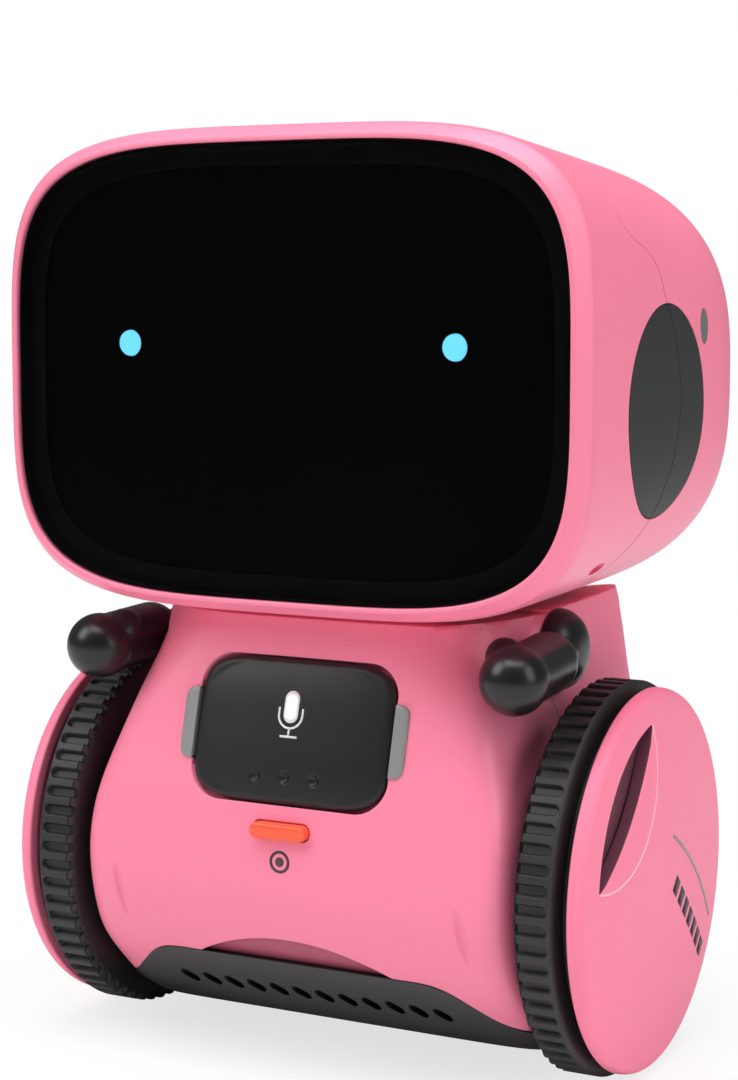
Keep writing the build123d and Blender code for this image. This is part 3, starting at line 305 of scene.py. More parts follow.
def refined(obj, value, longest, near=0.25, rounds=6, zone=None, shortest=0.3):
    """Splits the faces on the surface value = 0 into short edges, and moves them exactly onto it."""
    bm = bmesh.new()
    bm.from_mesh(obj.data)
    bmesh.ops.remove_doubles(bm, verts=bm.verts, dist=2e-6)
    mark = bm.faces.layers.int.new("skin")
    bm.verts.ensure_lookup_table()

    def measure():
        bm.verts.index_update()
        p = np.array([v.co for v in bm.verts], float) / MM
        g = gradient(value, p)
        size = np.maximum(np.linalg.norm(g, axis=1), 1e-9)
        return p, value(p) / size, g / size[:, None]

    p, far, normal = measure()
    for f in bm.faces:
        ids = [v.index for v in f.verts]
        n = np.array(f.normal)
        limit = DENT_NEAR if zone and zone(f.calc_center_median() / MM) else near
        f[mark] = int(max(abs(far[i]) for i in ids) < limit and min(normal[i] @ n for i in ids) > 0.7)
    for _ in range(rounds):
        edges = [e for e in bm.edges if e.calc_length() > longest * MM
                 and any(f[mark] for f in e.link_faces)]
        if not edges:
            break
        bmesh.ops.subdivide_edges(bm, edges=edges, cuts=1)
        bmesh.ops.triangulate(bm, faces=[f for f in bm.faces if f[mark]])
    for _ in range(3 if zone else 0):
        edges = [e for e in bm.edges if e.calc_length() > shortest * MM
                 and all(f[mark] for f in e.link_faces)
                 and zone((e.verts[0].co + e.verts[1].co) / (2 * MM))]
        bmesh.ops.subdivide_edges(bm, edges=edges, cuts=1)
        bmesh.ops.triangulate(bm, faces=[f for f in bm.faces if f[mark]])
    for _ in range(3):
        p, far, normal = measure()
        for v in bm.verts:
            if v.link_faces and all(f[mark] for f in v.link_faces):
                i = v.index
                v.co = Vector((p[i] - normal[i] * far[i]) * MM)
    bm.to_mesh(obj.data)
    bm.free()
    skin_normals(obj, value)
    return obj


def piece(obj, body, finish, nodes=(), slot=None, smooth=None):
    """Puts a finished piece on its body, with its material and the CAD nodes it stands for."""
    obj.data.materials.clear()
    obj.data.materials.append(FINISH[finish] if isinstance(finish, str) else finish)
    if smooth:
        shade(obj, smooth)
    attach(obj, body)
    if nodes:
        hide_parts(*nodes)
    if slot or isinstance(finish, str):
        slot or finish
    return obj


def bezier(a, b, c, steps):
    a, b, c = (np.asarray(v, float) for v in (a, b, c))
    return [(1 - t) ** 2 * a + 2 * t * (1 - t) * b + t * t * c for t in np.linspace(0, 1, steps)]


def cubic(xs, ys):
    """Natural cubic spline through the points."""
    xs, ys = np.asarray(xs, float), np.asarray(ys, float)
    n, h = len(xs), np.diff(xs)
    a, r = np.eye(n), np.zeros(n)
    for i in range(1, n - 1):
        a[i, i - 1:i + 2] = h[i - 1], 2 * (h[i - 1] + h[i]), h[i]
        r[i] = 6 * ((ys[i + 1] - ys[i]) / h[i] - (ys[i] - ys[i - 1]) / h[i - 1])
    m = np.linalg.solve(a, r)

    def at(x):
        x = np.clip(x, xs[0], xs[-1])
        i = np.clip(np.searchsorted(xs, x) - 1, 0, n - 2)
        d, l, u = h[i], x - xs[i], xs[i + 1] - x
        return ((m[i] * u ** 3 + m[i + 1] * l ** 3) / (6 * d)
                + (ys[i] / d - m[i] * d / 6) * u + (ys[i + 1] / d - m[i + 1] * d / 6) * l)
    return at


# ---------------------------------------------------------------- head
CROWN, HEAD_FRONT, BEZEL, HEAD_BACK = 120.0, -25.6, 2.3, 46.0
HEAD_MIDDLE = 89.6
LENS_W, LENS_H, OUTLINE = 38.9, 28.2, 4.1
HEAD_W, BELLY = 41.3, 59.4
ROUND_START, DEPTH_POWER, BACK_POWER = 8.7, 3.4, 2.65
SIDES = 320


def head_numbers(y, inset=0.0):
    depth = y - HEAD_FRONT - BEZEL
    share = depth / (HEAD_BACK - HEAD_FRONT - BEZEL)
    top, bottom = CROWN - 0.053 * depth, BELLY - 0.012 * depth
    start = np.clip((y - ROUND_START) / (HEAD_BACK - inset - ROUND_START), 0, 1)
    shrink = np.maximum(1 - start ** DEPTH_POWER, 0) ** (1 / DEPTH_POWER)
    return ((HEAD_W - 0.009 * depth - inset) * shrink, ((top - bottom) / 2 - inset) * shrink,
            OUTLINE + (BACK_POWER - OUTLINE) * share, (top + bottom) / 2)


def head_value(p):
    y = np.clip(p[:, 1], HEAD_FRONT - 3, HEAD_BACK - 1e-3)
    w, h, power, middle = head_numbers(y)
    w, h = np.maximum(w, 0.2), np.maximum(h, 0.2)
    r = (np.abs(p[:, 0]) / w) ** power + (np.abs(p[:, 2] - middle) / h) ** power
    return (r ** (1 / power) - 1) * np.minimum(w, h)


def head_ring(w, h, power, middle, y):
    t = 2 * np.pi * np.arange(SIDES) / SIDES
    c, s = np.cos(t), np.sin(t)
    # superellipse: equal steps of the angle put its points closest together at the corners
    x = w * np.sign(c) * np.abs(c) ** (2 / power)
    z = middle + h * np.sign(s) * np.abs(s) ** (2 / power)
    return np.stack([x, np.full(SIDES, float(y)), z], 1)


def lens_row(grow, y):
    return (LENS_W + grow, LENS_H + grow, OUTLINE, HEAD_MIDDLE, y)


def skin_row(y, inset=0.0):
    return (*[float(v) for v in head_numbers(y, inset)], y)


edge_y = HEAD_FRONT + BEZEL
rows = [lens_row(0.05, edge_y + 0.4), lens_row(0.05, HEAD_FRONT + 0.75)]
lip = np.array(lens_row(0.5, HEAD_FRONT))
crease = np.array(skin_row(edge_y))
slope = crease - lip
rows += bezier(lens_row(0.05, HEAD_FRONT + 0.45), lens_row(0.05, HEAD_FRONT), lip + 0.1 * slope, 7)
rows += bezier(lip + 0.62 * slope, crease, skin_row(edge_y + 1.3), 9)
rows += [skin_row(y) for y in np.linspace(edge_y + 2.2, ROUND_START, 18)]
turn = np.linspace(0, 1, 44)[1:]
turn = 1 - (1 - turn) ** 2.1
rows += [skin_row(y) for y in ROUND_START + (HEAD_BACK - ROUND_START) * turn[:-1]]
inner = [skin_row(y, 2.2) for y in ROUND_START + (HEAD_BACK - 2.2 - ROUND_START) * turn[:-1:2]]
rows_inside = inner[::-1] + [skin_row(y, 2.2) for y in np.linspace(ROUND_START, -20.4, 12)]
rows_inside += [lens_row(-2.2, -20.4), lens_row(-2.2, edge_y + 0.4)]
outer_rings = [head_ring(*r) for r in rows]
inner_rings = [head_ring(*r) for r in rows_inside]


def head_mesh():
    """Closed thin-walled case, open at the lens."""
    sides, points, faces = SIDES, [], []
    for ring in outer_rings + inner_rings:
        points += [tuple(q) for q in ring]
    last_outer = (len(outer_rings) - 1) * sides
    first_inner = len(outer_rings) * sides
    total = len(outer_rings) + len(inner_rings)
    for i in range(total):
        if i == len(outer_rings) - 1:
            continue
        a, b = i * sides, ((i + 1) % total) * sides
        faces += [(a + j, a + (j + 1) % sides, b + (j + 1) % sides, b + j) for j in range(sides)]
    faces.append(tuple(last_outer + j for j in range(sides)))
    faces.append(tuple(first_inner + j for j in range(sides))[::-1])
    obj = new_mesh("head_case", points, faces)
    fix_normals(obj)
    return obj


# parting line of the head in side view
part_z = [40, 58, 65, 67.4, 72, 78.8, 86.5, 94.5, 97.8, 102.4, 104.6, 106.0, 108.5, 111, 116, 140]
part_y = [-7, -7, -6.6, -3.4, 0.2, 4.0, 5.9, 3.2, 0.5, -1.6, -4.2, -9.3, -11.8, -12.5, -12.5, -12.5]
smooth_z = np.concatenate([np.linspace(40, 62, 8), np.linspace(62.5, 112, 130), np.linspace(113, 140, 6)])
parting = np.interp(smooth_z, part_z, part_y)
for _ in range(3):
    parting[1:-1] = (parting[:-2] + 2 * parting[1:-1] + parting[2:]) / 4
# half the gap at the seam; over the crown the shells close up and the line disappears
seam = 0.1 * np.clip((108.5 - smooth_z) / 3.0, 0.02, 1)
front_side = prism("front_side", [*zip(parting - seam, smooth_z), (-90, 140), (-90, 40)], 0, -90, 90)
back_side = prism("back_side", [*zip(parting + seam, smooth_z), (90, 140), (90, 40)], 0, -90, 90)

EAR_Y, EAR_Z, EAR_R = 0.8, 84.7, 13.4
WINDOW_Y, WINDOW_Z, WINDOW_W, WINDOW_H = 14.2, 95.1, 1.42, 2.22
WINDOW_GAP = 0.1
PRY_Y, PRY_Z, PRY_FLOOR_X = -10.2, 65.9, 35.0
SCREW_X, SCREW_DROP, WELL_R, TUBE_R, WELL_START_Y = 31.5, 18.5, 2.2, 3.0, 11.2
case = head_mesh()
neck_cut = prism("neck_cut", circle(0, 0, 7.3), 2, 50, 66)
boolean(case, neck_cut)
ears = copy_of(case, "ears")
boolean(ears, prism("ear_core", circle(EAR_Y, EAR_Z, EAR_R - 0.08), 0, -60, 60), "INTERSECT")
boolean(case, prism("ear_cut", circle(EAR_Y, EAR_Z, EAR_R + 0.06), 0, -60, 60))
lens_core = copy_of(case, "side_lenses_visual")
window = circle(WINDOW_Y, WINDOW_Z, WINDOW_W, WINDOW_H, 40)
boolean(lens_core, prism("lens_core", window, 0, -60, 60), "INTERSECT")
opening = circle(WINDOW_Y, WINDOW_Z, WINDOW_W + WINDOW_GAP, WINDOW_H + WINDOW_GAP, 40)
boolean(case, prism("lens_cut", opening, 0, -60, 60))
# a blind slot for opening the case
pry_outline = circle(PRY_Y, PRY_Z, 2.0, 0.75, 32)
for side in (-1, 1):
    boolean(case, prism("pry", pry_outline, 0, side * PRY_FLOOR_X, side * 45))
wells = [(x, HEAD_MIDDLE + z) for x in (-SCREW_X, SCREW_X) for z in (-SCREW_DROP, SCREW_DROP)]
for x, z in wells:
    boolean(case, prism("well", circle(x, z, WELL_R, steps=40), 1, 12, 60))
front_shell = boolean(copy_of(case, "head_front_visual"), front_side, "INTERSECT")
back_shell = boolean(copy_of(case, "head_back_visual"), back_side, "INTERSECT")
tubes = []
core = rings_mesh("head_core", outer_rings[18:])
for x, z in wells:
    t = np.arange(48) * 2 * math.pi / 48
    rings = []
    for radius, y in ((WELL_R, WELL_START_Y), (TUBE_R, WELL_START_Y), (TUBE_R, 44.0), (WELL_R, 44.0)):
        rings.append(np.stack([x + radius * np.cos(t), np.full(48, y), z + radius * np.sin(t)], 1))
    tubes.append(boolean(rings_mesh("tube", rings, closed=True), core, "INTERSECT"))
back_shell = joined("head_back_visual", [back_shell] + tubes)
ears_front = boolean(copy_of(ears, "ears_front"), front_side, "INTERSECT")
ears_back = boolean(copy_of(ears, "ears_back"), back_side, "INTERSECT")


def half_of(obj, name, side):
    bm = bmesh.new()
    bm.from_mesh(obj.data)
    drop = [f for f in bm.faces if f.calc_center_median().x * side < 0]
    bmesh.ops.delete(bm, geom=drop, context="FACES")
    mesh = bpy.data.meshes.new(name)
    bm.to_mesh(mesh)
    bm.free()
    other = bpy.data.objects.new(name, mesh)
    bpy.context.collection.objects.link(other)
    return other


for obj, finish, name in ((front_shell, "shell_pink", "head_front_shell"),
                          (back_shell, "shell_pink", "head_back_shell"),
                          (lens_core, "lens_grey", "side_lenses")):
    skin_normals(obj, head_value)
    piece(obj, "head", finish, (name,))
for end, pair in (("front", ears_front), ("back", ears_back)):
    for word, side in (("left", 1), ("right", -1)):
        ear = half_of(pair, f"{word}_ear_{end}_visual", side)
        skin_normals(ear, head_value)
        piece(ear, "head", "ear_grey", (f"{word}_ear_{end}",))
discard(ears, ears_front, ears_back, case)

# domed screen glass with rounded rim
lens_rows = bezier(lens_row(-0.12, HEAD_FRONT + 1.2), lens_row(-0.12, HEAD_FRONT + 0.5),
                   lens_row(-0.9, HEAD_FRONT + 0.3), 6)
for share in np.linspace(0.965, 0.0, 30)[:-1]:
    y = HEAD_FRONT + 0.3 - 0.45 * (1 - share ** 2)
    power = OUTLINE + (2.2 - OUTLINE) * (1 - share)
    lens_rows.append(np.array([LENS_W * share, LENS_H * share, power, HEAD_MIDDLE, y]))
lens_rows = [np.array(lens_row(-0.12, HEAD_FRONT + 2.6))] + list(lens_rows)
glass = rings_mesh("screen_lens_visual", [head_ring(*r) for r in lens_rows])
piece(glass, "head", "screen", ("screen_lens",), smooth=40)

# black border printed on the back and the rim of the glass
border = [head_ring(*lens_row(-0.14, HEAD_FRONT + y)) for y in (0.75, 2.62)]
border += [head_ring(*lens_row(g, HEAD_FRONT + 2.63)) for g in (-0.2, -1.4, -2.9)]
border += [head_ring(*lens_row(g, HEAD_FRONT + 2.56)) for g in (-2.9, -1.4, -0.3)]
border += [head_ring(*lens_row(-0.24, HEAD_FRONT + y)) for y in (2.5, 0.75)]
piece(rings_mesh("screen_border", border, closed=True), "head", "mask_black", smooth=40)

# ---------------------------------------------------------------- torso
# height, front, back, half width in front, half width behind, squareness of the front corners
levels = np.array([
    (3.6, -9.0, 12.0, 29.6, 29.6, 10), (6, -12.8, 15.8, 30.3, 30.3, 11),
    (10, -17.4, 19.4, 30.7, 30.7, 12), (14.5, -21.4, 22.2, 30.8, 30.8, 14),
    (20, -24.1, 24, 30.8, 30.8, 14), (27, -25.1, 24.8, 30.8, 30.8, 14),
    (34, -24.4, 24.6, 30.2, 30.8, 12), (41, -22.5, 23.6, 28.4, 30.5, 10),
    (47, -20.9, 22.6, 26.4, 30.1, 8.5), (50, -20.1, 22.1, 25.8, 29.8, 6.5),
    (54, -19.0, 21.5, 25.4, 29.4, 4.6), (60.6, -17.3, 20.2, 24.8, 28.6, 3.4)])
level_at = [cubic(levels[:, 0], levels[:, k]) for k in range(1, 6)]


def torso_plain(p):
    z = p[:, 2]
    front, back, near_w, far_w, power = (f(z) for f in level_at)
    v = (p[:, 1] - (front + back) / 2) / ((back - front) / 2)
    power = np.where(v < 0, power, 12.0)
    half = near_w + (far_w - near_w) * np.maximum(v, 0) ** 1.4
    r = (np.abs(p[:, 0]) / half) ** power + np.abs(v) ** power
    return (np.maximum(r, 1e-12) ** (1 / power) - 1) * 24


def flank_dent(p):
    """Depth of the two thin lens-shaped dents, one on each front flank."""
    depth = np.zeros(len(p))
    for middle in (-24.3, 25.0):
        u = (p[:, 0] - middle + 0.16 * (p[:, 2] - 21.7)) / 0.75
        w = (p[:, 2] - 21.7) / 3.9
        depth += np.clip(1 - u * u - w * w, 0, 1) * (p[:, 1] < -10)
    return 0.42 * depth


def torso_value(p):
    return torso_plain(p) + flank_dent(p)


def cad_copy(node, name):
    return copy_of(frame["nodes"][node], name)


def near_dent(q):
    return q.y < -10 and 17 < q.z < 26.5 and min(abs(q.x + 24.3), abs(q.x - 25.0)) < 2.2


torso_front = refined(cad_copy("torso_front_shell", "torso_front_visual"), torso_value, 1.2, zone=near_dent)
piece(torso_front, "torso", "shell_pink", ("torso_front_shell",))
# painted shade: the crescent recess above the bumper gets a darker pink that stands in for the shade in it
torso_front.data.materials.append(PAINTED_SHADE_PINK)
centres = np.array([poly.center for poly in torso_front.data.polygons], float) / MM
depth = -torso_plain(centres) / np.maximum(np.linalg.norm(gradient(torso_plain, centres), axis=1), 1e-9)
for poly, c, d in zip(torso_front.data.polygons, centres, depth):
    if 0.3 < d < 1.3 and abs(c[0]) < 14.2 and 14.2 < c[2] < 18.2 and c[1] < -15:
        poly.material_index = 1
torso_back = refined(cad_copy("torso_back_shell", "torso_back_visual"), torso_plain, 1.6)
piece(torso_back, "torso", "shell_pink", ("torso_back_shell",))


def torso_ring(z, inset=0.0, steps=480):
    front, back, near_w, far_w, power = (float(f(z)) for f in level_at)
    t = 2 * np.pi * np.arange(steps) / steps
    power = np.where(np.sin(t) < 0, power, 12.0)
    x = np.sign(np.cos(t)) * np.abs(np.cos(t)) ** (2 / power)
    v = np.sign(np.sin(t)) * np.abs(np.sin(t)) ** (2 / power)
    half = near_w + (far_w - near_w) * np.maximum(v, 0) ** 1.4 - inset
    y = (front + back) / 2 + v * ((back - front) / 2 - inset)
    return np.stack([x * half, y, np.full(steps, float(z))], 1)


def pill_outline(reach, radius, steps):
    """Bar with round ends of that radius, whose centres are at -reach and reach."""
    right = np.linspace(-math.pi / 2, math.pi / 2, steps)
    left = np.linspace(math.pi / 2, 3 * math.pi / 2, steps)
    return ([(reach + radius * math.cos(a), radius * math.sin(a)) for a in right]
            + [(-reach + radius * math.cos(a), radius * math.sin(a)) for a in left])


# bumper: the lower front of the torso, with slanted slots and an arched upper edge
SLOTS, SLOT_PITCH, SLOT_Z, SLOT_LEAN = 12, 3.4, 9.0, math.radians(38)
bumper = rings_mesh("lower_bumper_visual", [torso_ring(z, -0.12) for z in np.linspace(3.6, 15.5, 48)])
boolean(bumper, rings_mesh("inside", [torso_ring(z, 1.8) for z in np.linspace(5.4, 16.5, 24)]))
edge = [(x, 14.25) for x in np.linspace(-16.5, 16.5, 40)]
wing = cubic((16.5, 21, 26, 30, 33), (14.25, 13.45, 9.8, 7.1, 5.6))
right_edge = [(x, float(wing(x))) for x in np.linspace(16.9, 33, 24)]
arch = [(-x, z) for x, z in right_edge[::-1]] + edge + right_edge + [(33, 0), (-33, 0)]
boolean(bumper, prism("arch", arch, 1, -40, -7.5), "INTERSECT")
for k in range(SLOTS):
    middle = (k - (SLOTS - 1) / 2) * SLOT_PITCH
    turned = [(middle + x * math.cos(SLOT_LEAN) + z * math.sin(SLOT_LEAN),
               SLOT_Z - x * math.sin(SLOT_LEAN) + z * math.cos(SLOT_LEAN))
              for x, z in pill_outline(0.55, 0.74, 9)]
    boolean(bumper, prism("slot", turned, 1, -30, -5))
skin_normals(bumper, lambda p: torso_plain(p) - 0.12)
piece(bumper, "torso", "black_satin", ("lower_bumper",))

# chest fittings are laid out on the leaning chest plane
TILT = math.radians(15.0)
PANEL_Z, CHEST_Y, CHEST_FOOT_Z = 44.4, -25.1, 31.5
chest_origin = np.array([0.0, CHEST_Y + (PANEL_Z - CHEST_FOOT_Z) * math.tan(TILT) + 0.2, PANEL_Z])
chest_out = np.array([0.0, -math.cos(TILT), math.sin(TILT)])
chest_up = np.array([0.0, math.sin(TILT), math.cos(TILT)])


def on_chest(x, up, out):
    return chest_origin + np.array([x, 0, 0]) + up * chest_up + out * chest_out


def rounded_rect(w, h, r, steps=14):
    points = []
    for k, (cx, cy) in enumerate(((w - r, h - r), (r - w, h - r), (r - w, r - h), (w - r, r - h))):
        for t in np.linspace(0, 1, steps):
            a = (k + t) * math.pi / 2
            points.append((cx + r * math.cos(a), cy + r * math.sin(a)))
    return points


def superellipse(w, h, power, steps=240):
    t = 2 * np.pi * np.arange(steps) / steps
    c, s = np.cos(t), np.sin(t)
    x, z = w * np.sign(c) * np.abs(c) ** (2 / power), h * np.sign(s) * np.abs(s) ** (2 / power)
    return list(zip(x, z))


PANEL_W, PANEL_H, PROUD = 13.95, 9.15, 1.2


def panel_height(x, up):
    r = (abs(x) / PANEL_W) ** 2.6 + (abs(up) / PANEL_H) ** 2.6
    h = PROUD - 0.75 * min(1.0, r) ** 1.2
    for k in (-4.2, 0.0, 4.2):
        d = math.hypot(x - k, up + 5.9)
        h -= 0.55 * max(0.0, 1 - (d / 0.85) ** 2)
    return h


def resampled(outline, count):
    """The same closed outline with evenly spaced points."""
    loop = np.array(list(outline) + [outline[0]], float)
    run = np.concatenate([[0], np.cumsum(np.linalg.norm(np.diff(loop, axis=0), axis=1))])
    at = np.linspace(0, run[-1], count, endpoint=False)
    return [(float(np.interp(a, run, loop[:, 0])), float(np.interp(a, run, loop[:, 1]))) for a in at]


base = resampled(superellipse(PANEL_W, PANEL_H, 5.1), 260)
rows = [[on_chest(x, u, out) for x, u in base] for out in (-0.7, -0.3)]
for share in (1.0, 0.995, 0.985, 0.965, 0.94) + tuple(np.linspace(0.91, 0.02, 70)):
    fall = 0.5 * max(0.0, (share - 0.94) / 0.06) ** 2
    rows.append([on_chest(x * share, u * share, panel_height(x * share, u * share) - fall)
                 for x, u in base])
panel = rings_mesh("voice_button_visual", rows)
piece(panel, "voice_button", PANEL_BLACK, ("voice_button",), slot="black_satin", smooth=50)


# light guide: a plate that shows at the two sides of the panel
tabs = resampled(rounded_rect(16.1, 4.6, 1.3), 120)
rows = [[on_chest(x * grow, u * grow, out) for x, u in tabs]
        for out, grow in ((-1.5, 1), (0.32, 1), (0.45, 0.992), (0.5, 0.975))]
light_bar = rings_mesh("chest_light_bar_visual", rows)
# the panel travels inwards, so its pocket is cut out of the plate
pocket = resampled(rounded_rect(14.2, 9.4, 4.4), 160)
pocket = rings_mesh("pocket", [[on_chest(x, u, out) for x, u in pocket] for out in (-3, 2)])
boolean(light_bar, pocket)
piece(light_bar, "torso", "light_guide", ("chest_light_bar",), smooth=40)


def stroke(path, half, closed=False):
    """Flat band along a path in the plane, as quads."""
    path = [np.array(q, float) for q in path]
    n, left, right = len(path), [], []
    for i, q in enumerate(path):
        before = path[i - 1] if i or closed else q
        after = path[(i + 1) % n] if i < n - 1 or closed else q
        d = after - before
        d /= max(np.linalg.norm(d), 1e-9)
        side = np.array([-d[1], d[0]]) * half
        left.append(q + side)
        right.append(q - side)
    points = left + right
    last = n if closed else n - 1
    return points, [(i, (i + 1) % n, n + (i + 1) % n, n + i) for i in range(last)]


def disc(path):
    """Filled outline as rings round its middle."""
    path = np.array(path, float)
    middle, points, faces, n = path.mean(0), [], [], len(path)
    for share in (1.0, 0.75, 0.5, 0.25):
        points += [middle + (q - middle) * share for q in path]
    for start in (0, n, 2 * n):
        faces += [(start + j, start + (j + 1) % n, start + n + (j + 1) % n, start + n + j) for j in range(n)]
    faces.append(tuple(3 * n + j for j in range(n)))
    return points, faces


def print_or_painted_highlight(name, parts, place, body, ink, slot):
    """Ink, or a painted highlight, laid on a curved surface: place turns plane coordinates into a point of
    the robot.
    """
    points, faces = [], []
    for pts, fcs in parts:
        start = len(points)
        points += [place(*q) for q in pts]
        faces += [tuple(start + i for i in f) for f in fcs]
    obj = new_mesh(name, points, faces)
    thick = obj.modifiers.new("thick", "SOLIDIFY")
    thick.thickness = 0.05 * MM
    thick.offset = 0
    return piece(obj, body, ink, slot=slot, smooth=30)


capsule = [(1.25 * math.cos(a), 4.4 + 1.25 * math.sin(a)) for a in np.linspace(0, math.pi, 17)]
capsule += [(1.25 * math.cos(a), 1.9 + 1.25 * math.sin(a)) for a in np.linspace(math.pi, 2 * math.pi, 17)]
yoke = [(2.05 * math.cos(a), 1.9 + 2.05 * math.sin(a)) for a in np.linspace(math.pi, 2 * math.pi, 21)]
yoke = [(-2.05, 3.0)] + yoke + [(2.05, 3.0)]
stem = [(0, -0.15), (0, -0.7), (0, -1.3)]
foot = [(-1.5, -1.45), (0, -1.45), (1.5, -1.45)]
SIGN_SCALE = 0.82


def on_panel(x, u):
    x, u = SIGN_SCALE * x, SIGN_SCALE * u + 0.42
    return on_chest(x, u, panel_height(x, u) + 0.03)


# the white print of the sign has a slight painted glow
print_or_painted_highlight("microphone_sign", [disc(capsule), stroke(yoke, 0.16), stroke(stem, 0.16), stroke(foot, 0.17)],
        on_panel, "voice_button", PRINT_WHITE_PAINTED_GLOW, "white_plastic")


def chest_surface(x, z):
    """Point of the torso's front at that x and z."""
    p = np.array([[x, -22.0, z]])
    for _ in range(12):
        g = gradient(torso_plain, p)
        p[:, 1] -= torso_plain(p) / g[:, 1]
    return np.array([x, p[0, 1] - 0.03, z])


ring = [(1.25 * math.cos(a), 1.25 * math.sin(a)) for a in np.arange(40) * math.pi / 20]
dot = [(0.6 * math.cos(a), 0.6 * math.sin(a)) for a in np.arange(24) * math.pi / 12]


def lip_ring(w, h, r):
    return [chest_surface(x, PANEL_Z + u * math.cos(TILT)) for x, u in resampled(rounded_rect(w, h, r), 200)]


# rounded lip of the opening in which the light guide shows
outer = lip_ring(17.2, 5.4, 1.0)
inner = lip_ring(15.9, 4.35, 1.7)
lip_back = np.array([0, 0.7, 0])
outer = [q + lip_back * 0.07 for q in outer]
lip_rings = [outer, inner, [q + lip_back for q in inner], [q + lip_back for q in outer]]
light_lip = boolean(rings_mesh("light_guide_lip", lip_rings, closed=True), pocket)
piece(light_lip, "torso", "shell_pink", smooth=40)
print_or_painted_highlight("record_sign", [stroke(ring, 0.17, True), disc(dot)],
        lambda x, z: chest_surface(x, 28.4 + z), "torso", PRINT_DARK, "black_satin")

# record button: a rounded bar
RECORD_Z, BAR_REACH = 32.3, 3.0
bar = []
for radius, out in ((1.0, -2.0), (1.0, 0.55), (0.97, 0.72), (0.9, 0.84), (0.75, 0.9), (0.4, 0.93)):
    bar.append([(x, CHEST_Y - out, RECORD_Z + z) for x, z in pill_outline(BAR_REACH, radius, 15)])
piece(rings_mesh("record_button_visual", bar), "record_button", "orange", ("record_button",), smooth=40)

# ---------------------------------------------------------------- wheels
AXLE_Z, WHEEL_R, TEETH = 25.2, 25.2, 64


def wheel_ring(rx, steps, wave=None):
    """Ring about the axle: rx is (radius, x)."""
    t = 2 * np.pi * np.arange(steps) / steps
    r = np.full(steps, rx[0]) if wave is None else rx[0] - wave(t, rx[1])
    return np.stack([np.full(steps, rx[1]), r * np.cos(t), AXLE_Z + r * np.sin(t)], 1)


def groove(t, x):
    """Rounded-end grooves across the tread."""
    pitch = 2 * math.pi / TEETH
    across = ((t / pitch) % 1.0 - 0.5) * pitch * WHEEL_R
    along = max(0.0, abs(x - 33.8) - 1.9)
    d = np.hypot(across, along)
    return 0.75 * np.clip((0.72 - d) / 0.22, 0, 1)


profile = [(20.5, 31.9), (22.9, 31.8), (23.9, 31.85)]
profile += [tuple(q) for q in bezier((23.9, 31.85), (24.9, 31.95), (25.2, 32.5), 5)[1:]]
profile += [(25.2, x) for x in np.linspace(32.35, 36.55, 26)]
profile += [tuple(q) for q in bezier((25.2, 36.6), (24.9, 37.0), (23.9, 37.08), 5)[1:]]
profile += [(22.6, 37.1), (20.5, 37.1)]
rows = [wheel_ring((r, x), TEETH * 16, groove if r > 24.4 else None) for r, x in profile]
left_tyre = rings_mesh("left_tyre_visual", rows, closed=True)
right_tyre = mirrored(left_tyre, "right_tyre_visual")
for word, tyre in (("left", left_tyre), ("right", right_tyre)):
    piece(tyre, f"{word}_wheel", "tyre", (f"{word}_tyre",), smooth=35)

CAP_R, CAP_X, CAP_RISE = 24.5, 38.7, 3.4


def cap_surface(r):
    """How far out the face of the cap is at that radius."""
    return CAP_X + CAP_RISE - 1.4 * (r / (CAP_R - 1.0)) ** 2.3


rows = [(0.01, CAP_X + 1.6), (4, CAP_X + 1.6), (CAP_R - 1.8, CAP_X + 0.6), (CAP_R - 1.6, CAP_X),
        (CAP_R - 0.15, CAP_X)]
rows += [tuple(q) for q in bezier((CAP_R, CAP_X + 0.2), (CAP_R + 0.02, CAP_X + 1.7),
                                  (CAP_R - 1.0, CAP_X + 2.0), 9)]
rows += [(r, cap_surface(r)) for r in np.linspace(CAP_R - 1.5, 0.01, 40)]
cap = rings_mesh("cap", [wheel_ring(q, 256) for q in rows])


def arc(a, b, c, steps):
    """Circle arc through three points of the plane."""
    a, b, c = (complex(*q) for q in (a, b, c))
    w = (c - a) / (b - a)
    centre = a + (b - a) * (w - abs(w) ** 2) / (2j * w.imag)
    r = abs(a - centre)
    s, m, e = (np.angle(q - centre) for q in (a, b, c))
    m, e = s + (m - s + math.pi) % (2 * math.pi) - math.pi, s + (e - s + math.pi) % (2 * math.pi) - math.pi
    points = centre + r * np.exp(1j * np.linspace(s, e, steps))
    return [(q.real, q.imag) for q in points]


# leaf-shaped opening, and the shallow bevel that falls towards it
top, low = (-3.0, 20.7), (-20.1, 2.8)
outer_edge = arc(top, (-14.6, 14.65), low, 40)
inner_edge = arc(low, (-9.8, 10.1), top, 40)
bevel_edge = arc(low, (-6.35, 6.8), top, 40)
leaf = outer_edge + inner_edge[1:-1]
crescent = outer_edge + bevel_edge[1:-1]


def lofted_cut(low_outline, high_outline, x0, x1):
    """Solid between two outlines in the wheel's plane, as (y, z above the axle)."""
    return rings_mesh("leaf_cut", [[(x, y, AXLE_Z + z) for y, z in outline]
                                   for x, outline in ((x0, low_outline), (x1, high_outline))])


boolean(cap, lofted_cut(leaf, leaf, CAP_X - 1, CAP_X + 6))
boolean(cap, lofted_cut(leaf, crescent, CAP_X + 2.55, CAP_X + 3.3))
# a floor closes the opening from behind
cap = joined("cap", [cap, lofted_cut(crescent, crescent, CAP_X + 0.1, CAP_X + 0.8)])
right_cap = mirrored(cap, "right_wheel_cap_visual")
cap.name = "left_wheel_cap_visual"


def cap_point(side):
    return lambda y, z: (side * (cap_surface(math.hypot(y, z)) + 0.03), y, AXLE_Z + z)


line = arc((2.4, 5.5), (11.3, -0.9), (18.6, -8.8), 24)
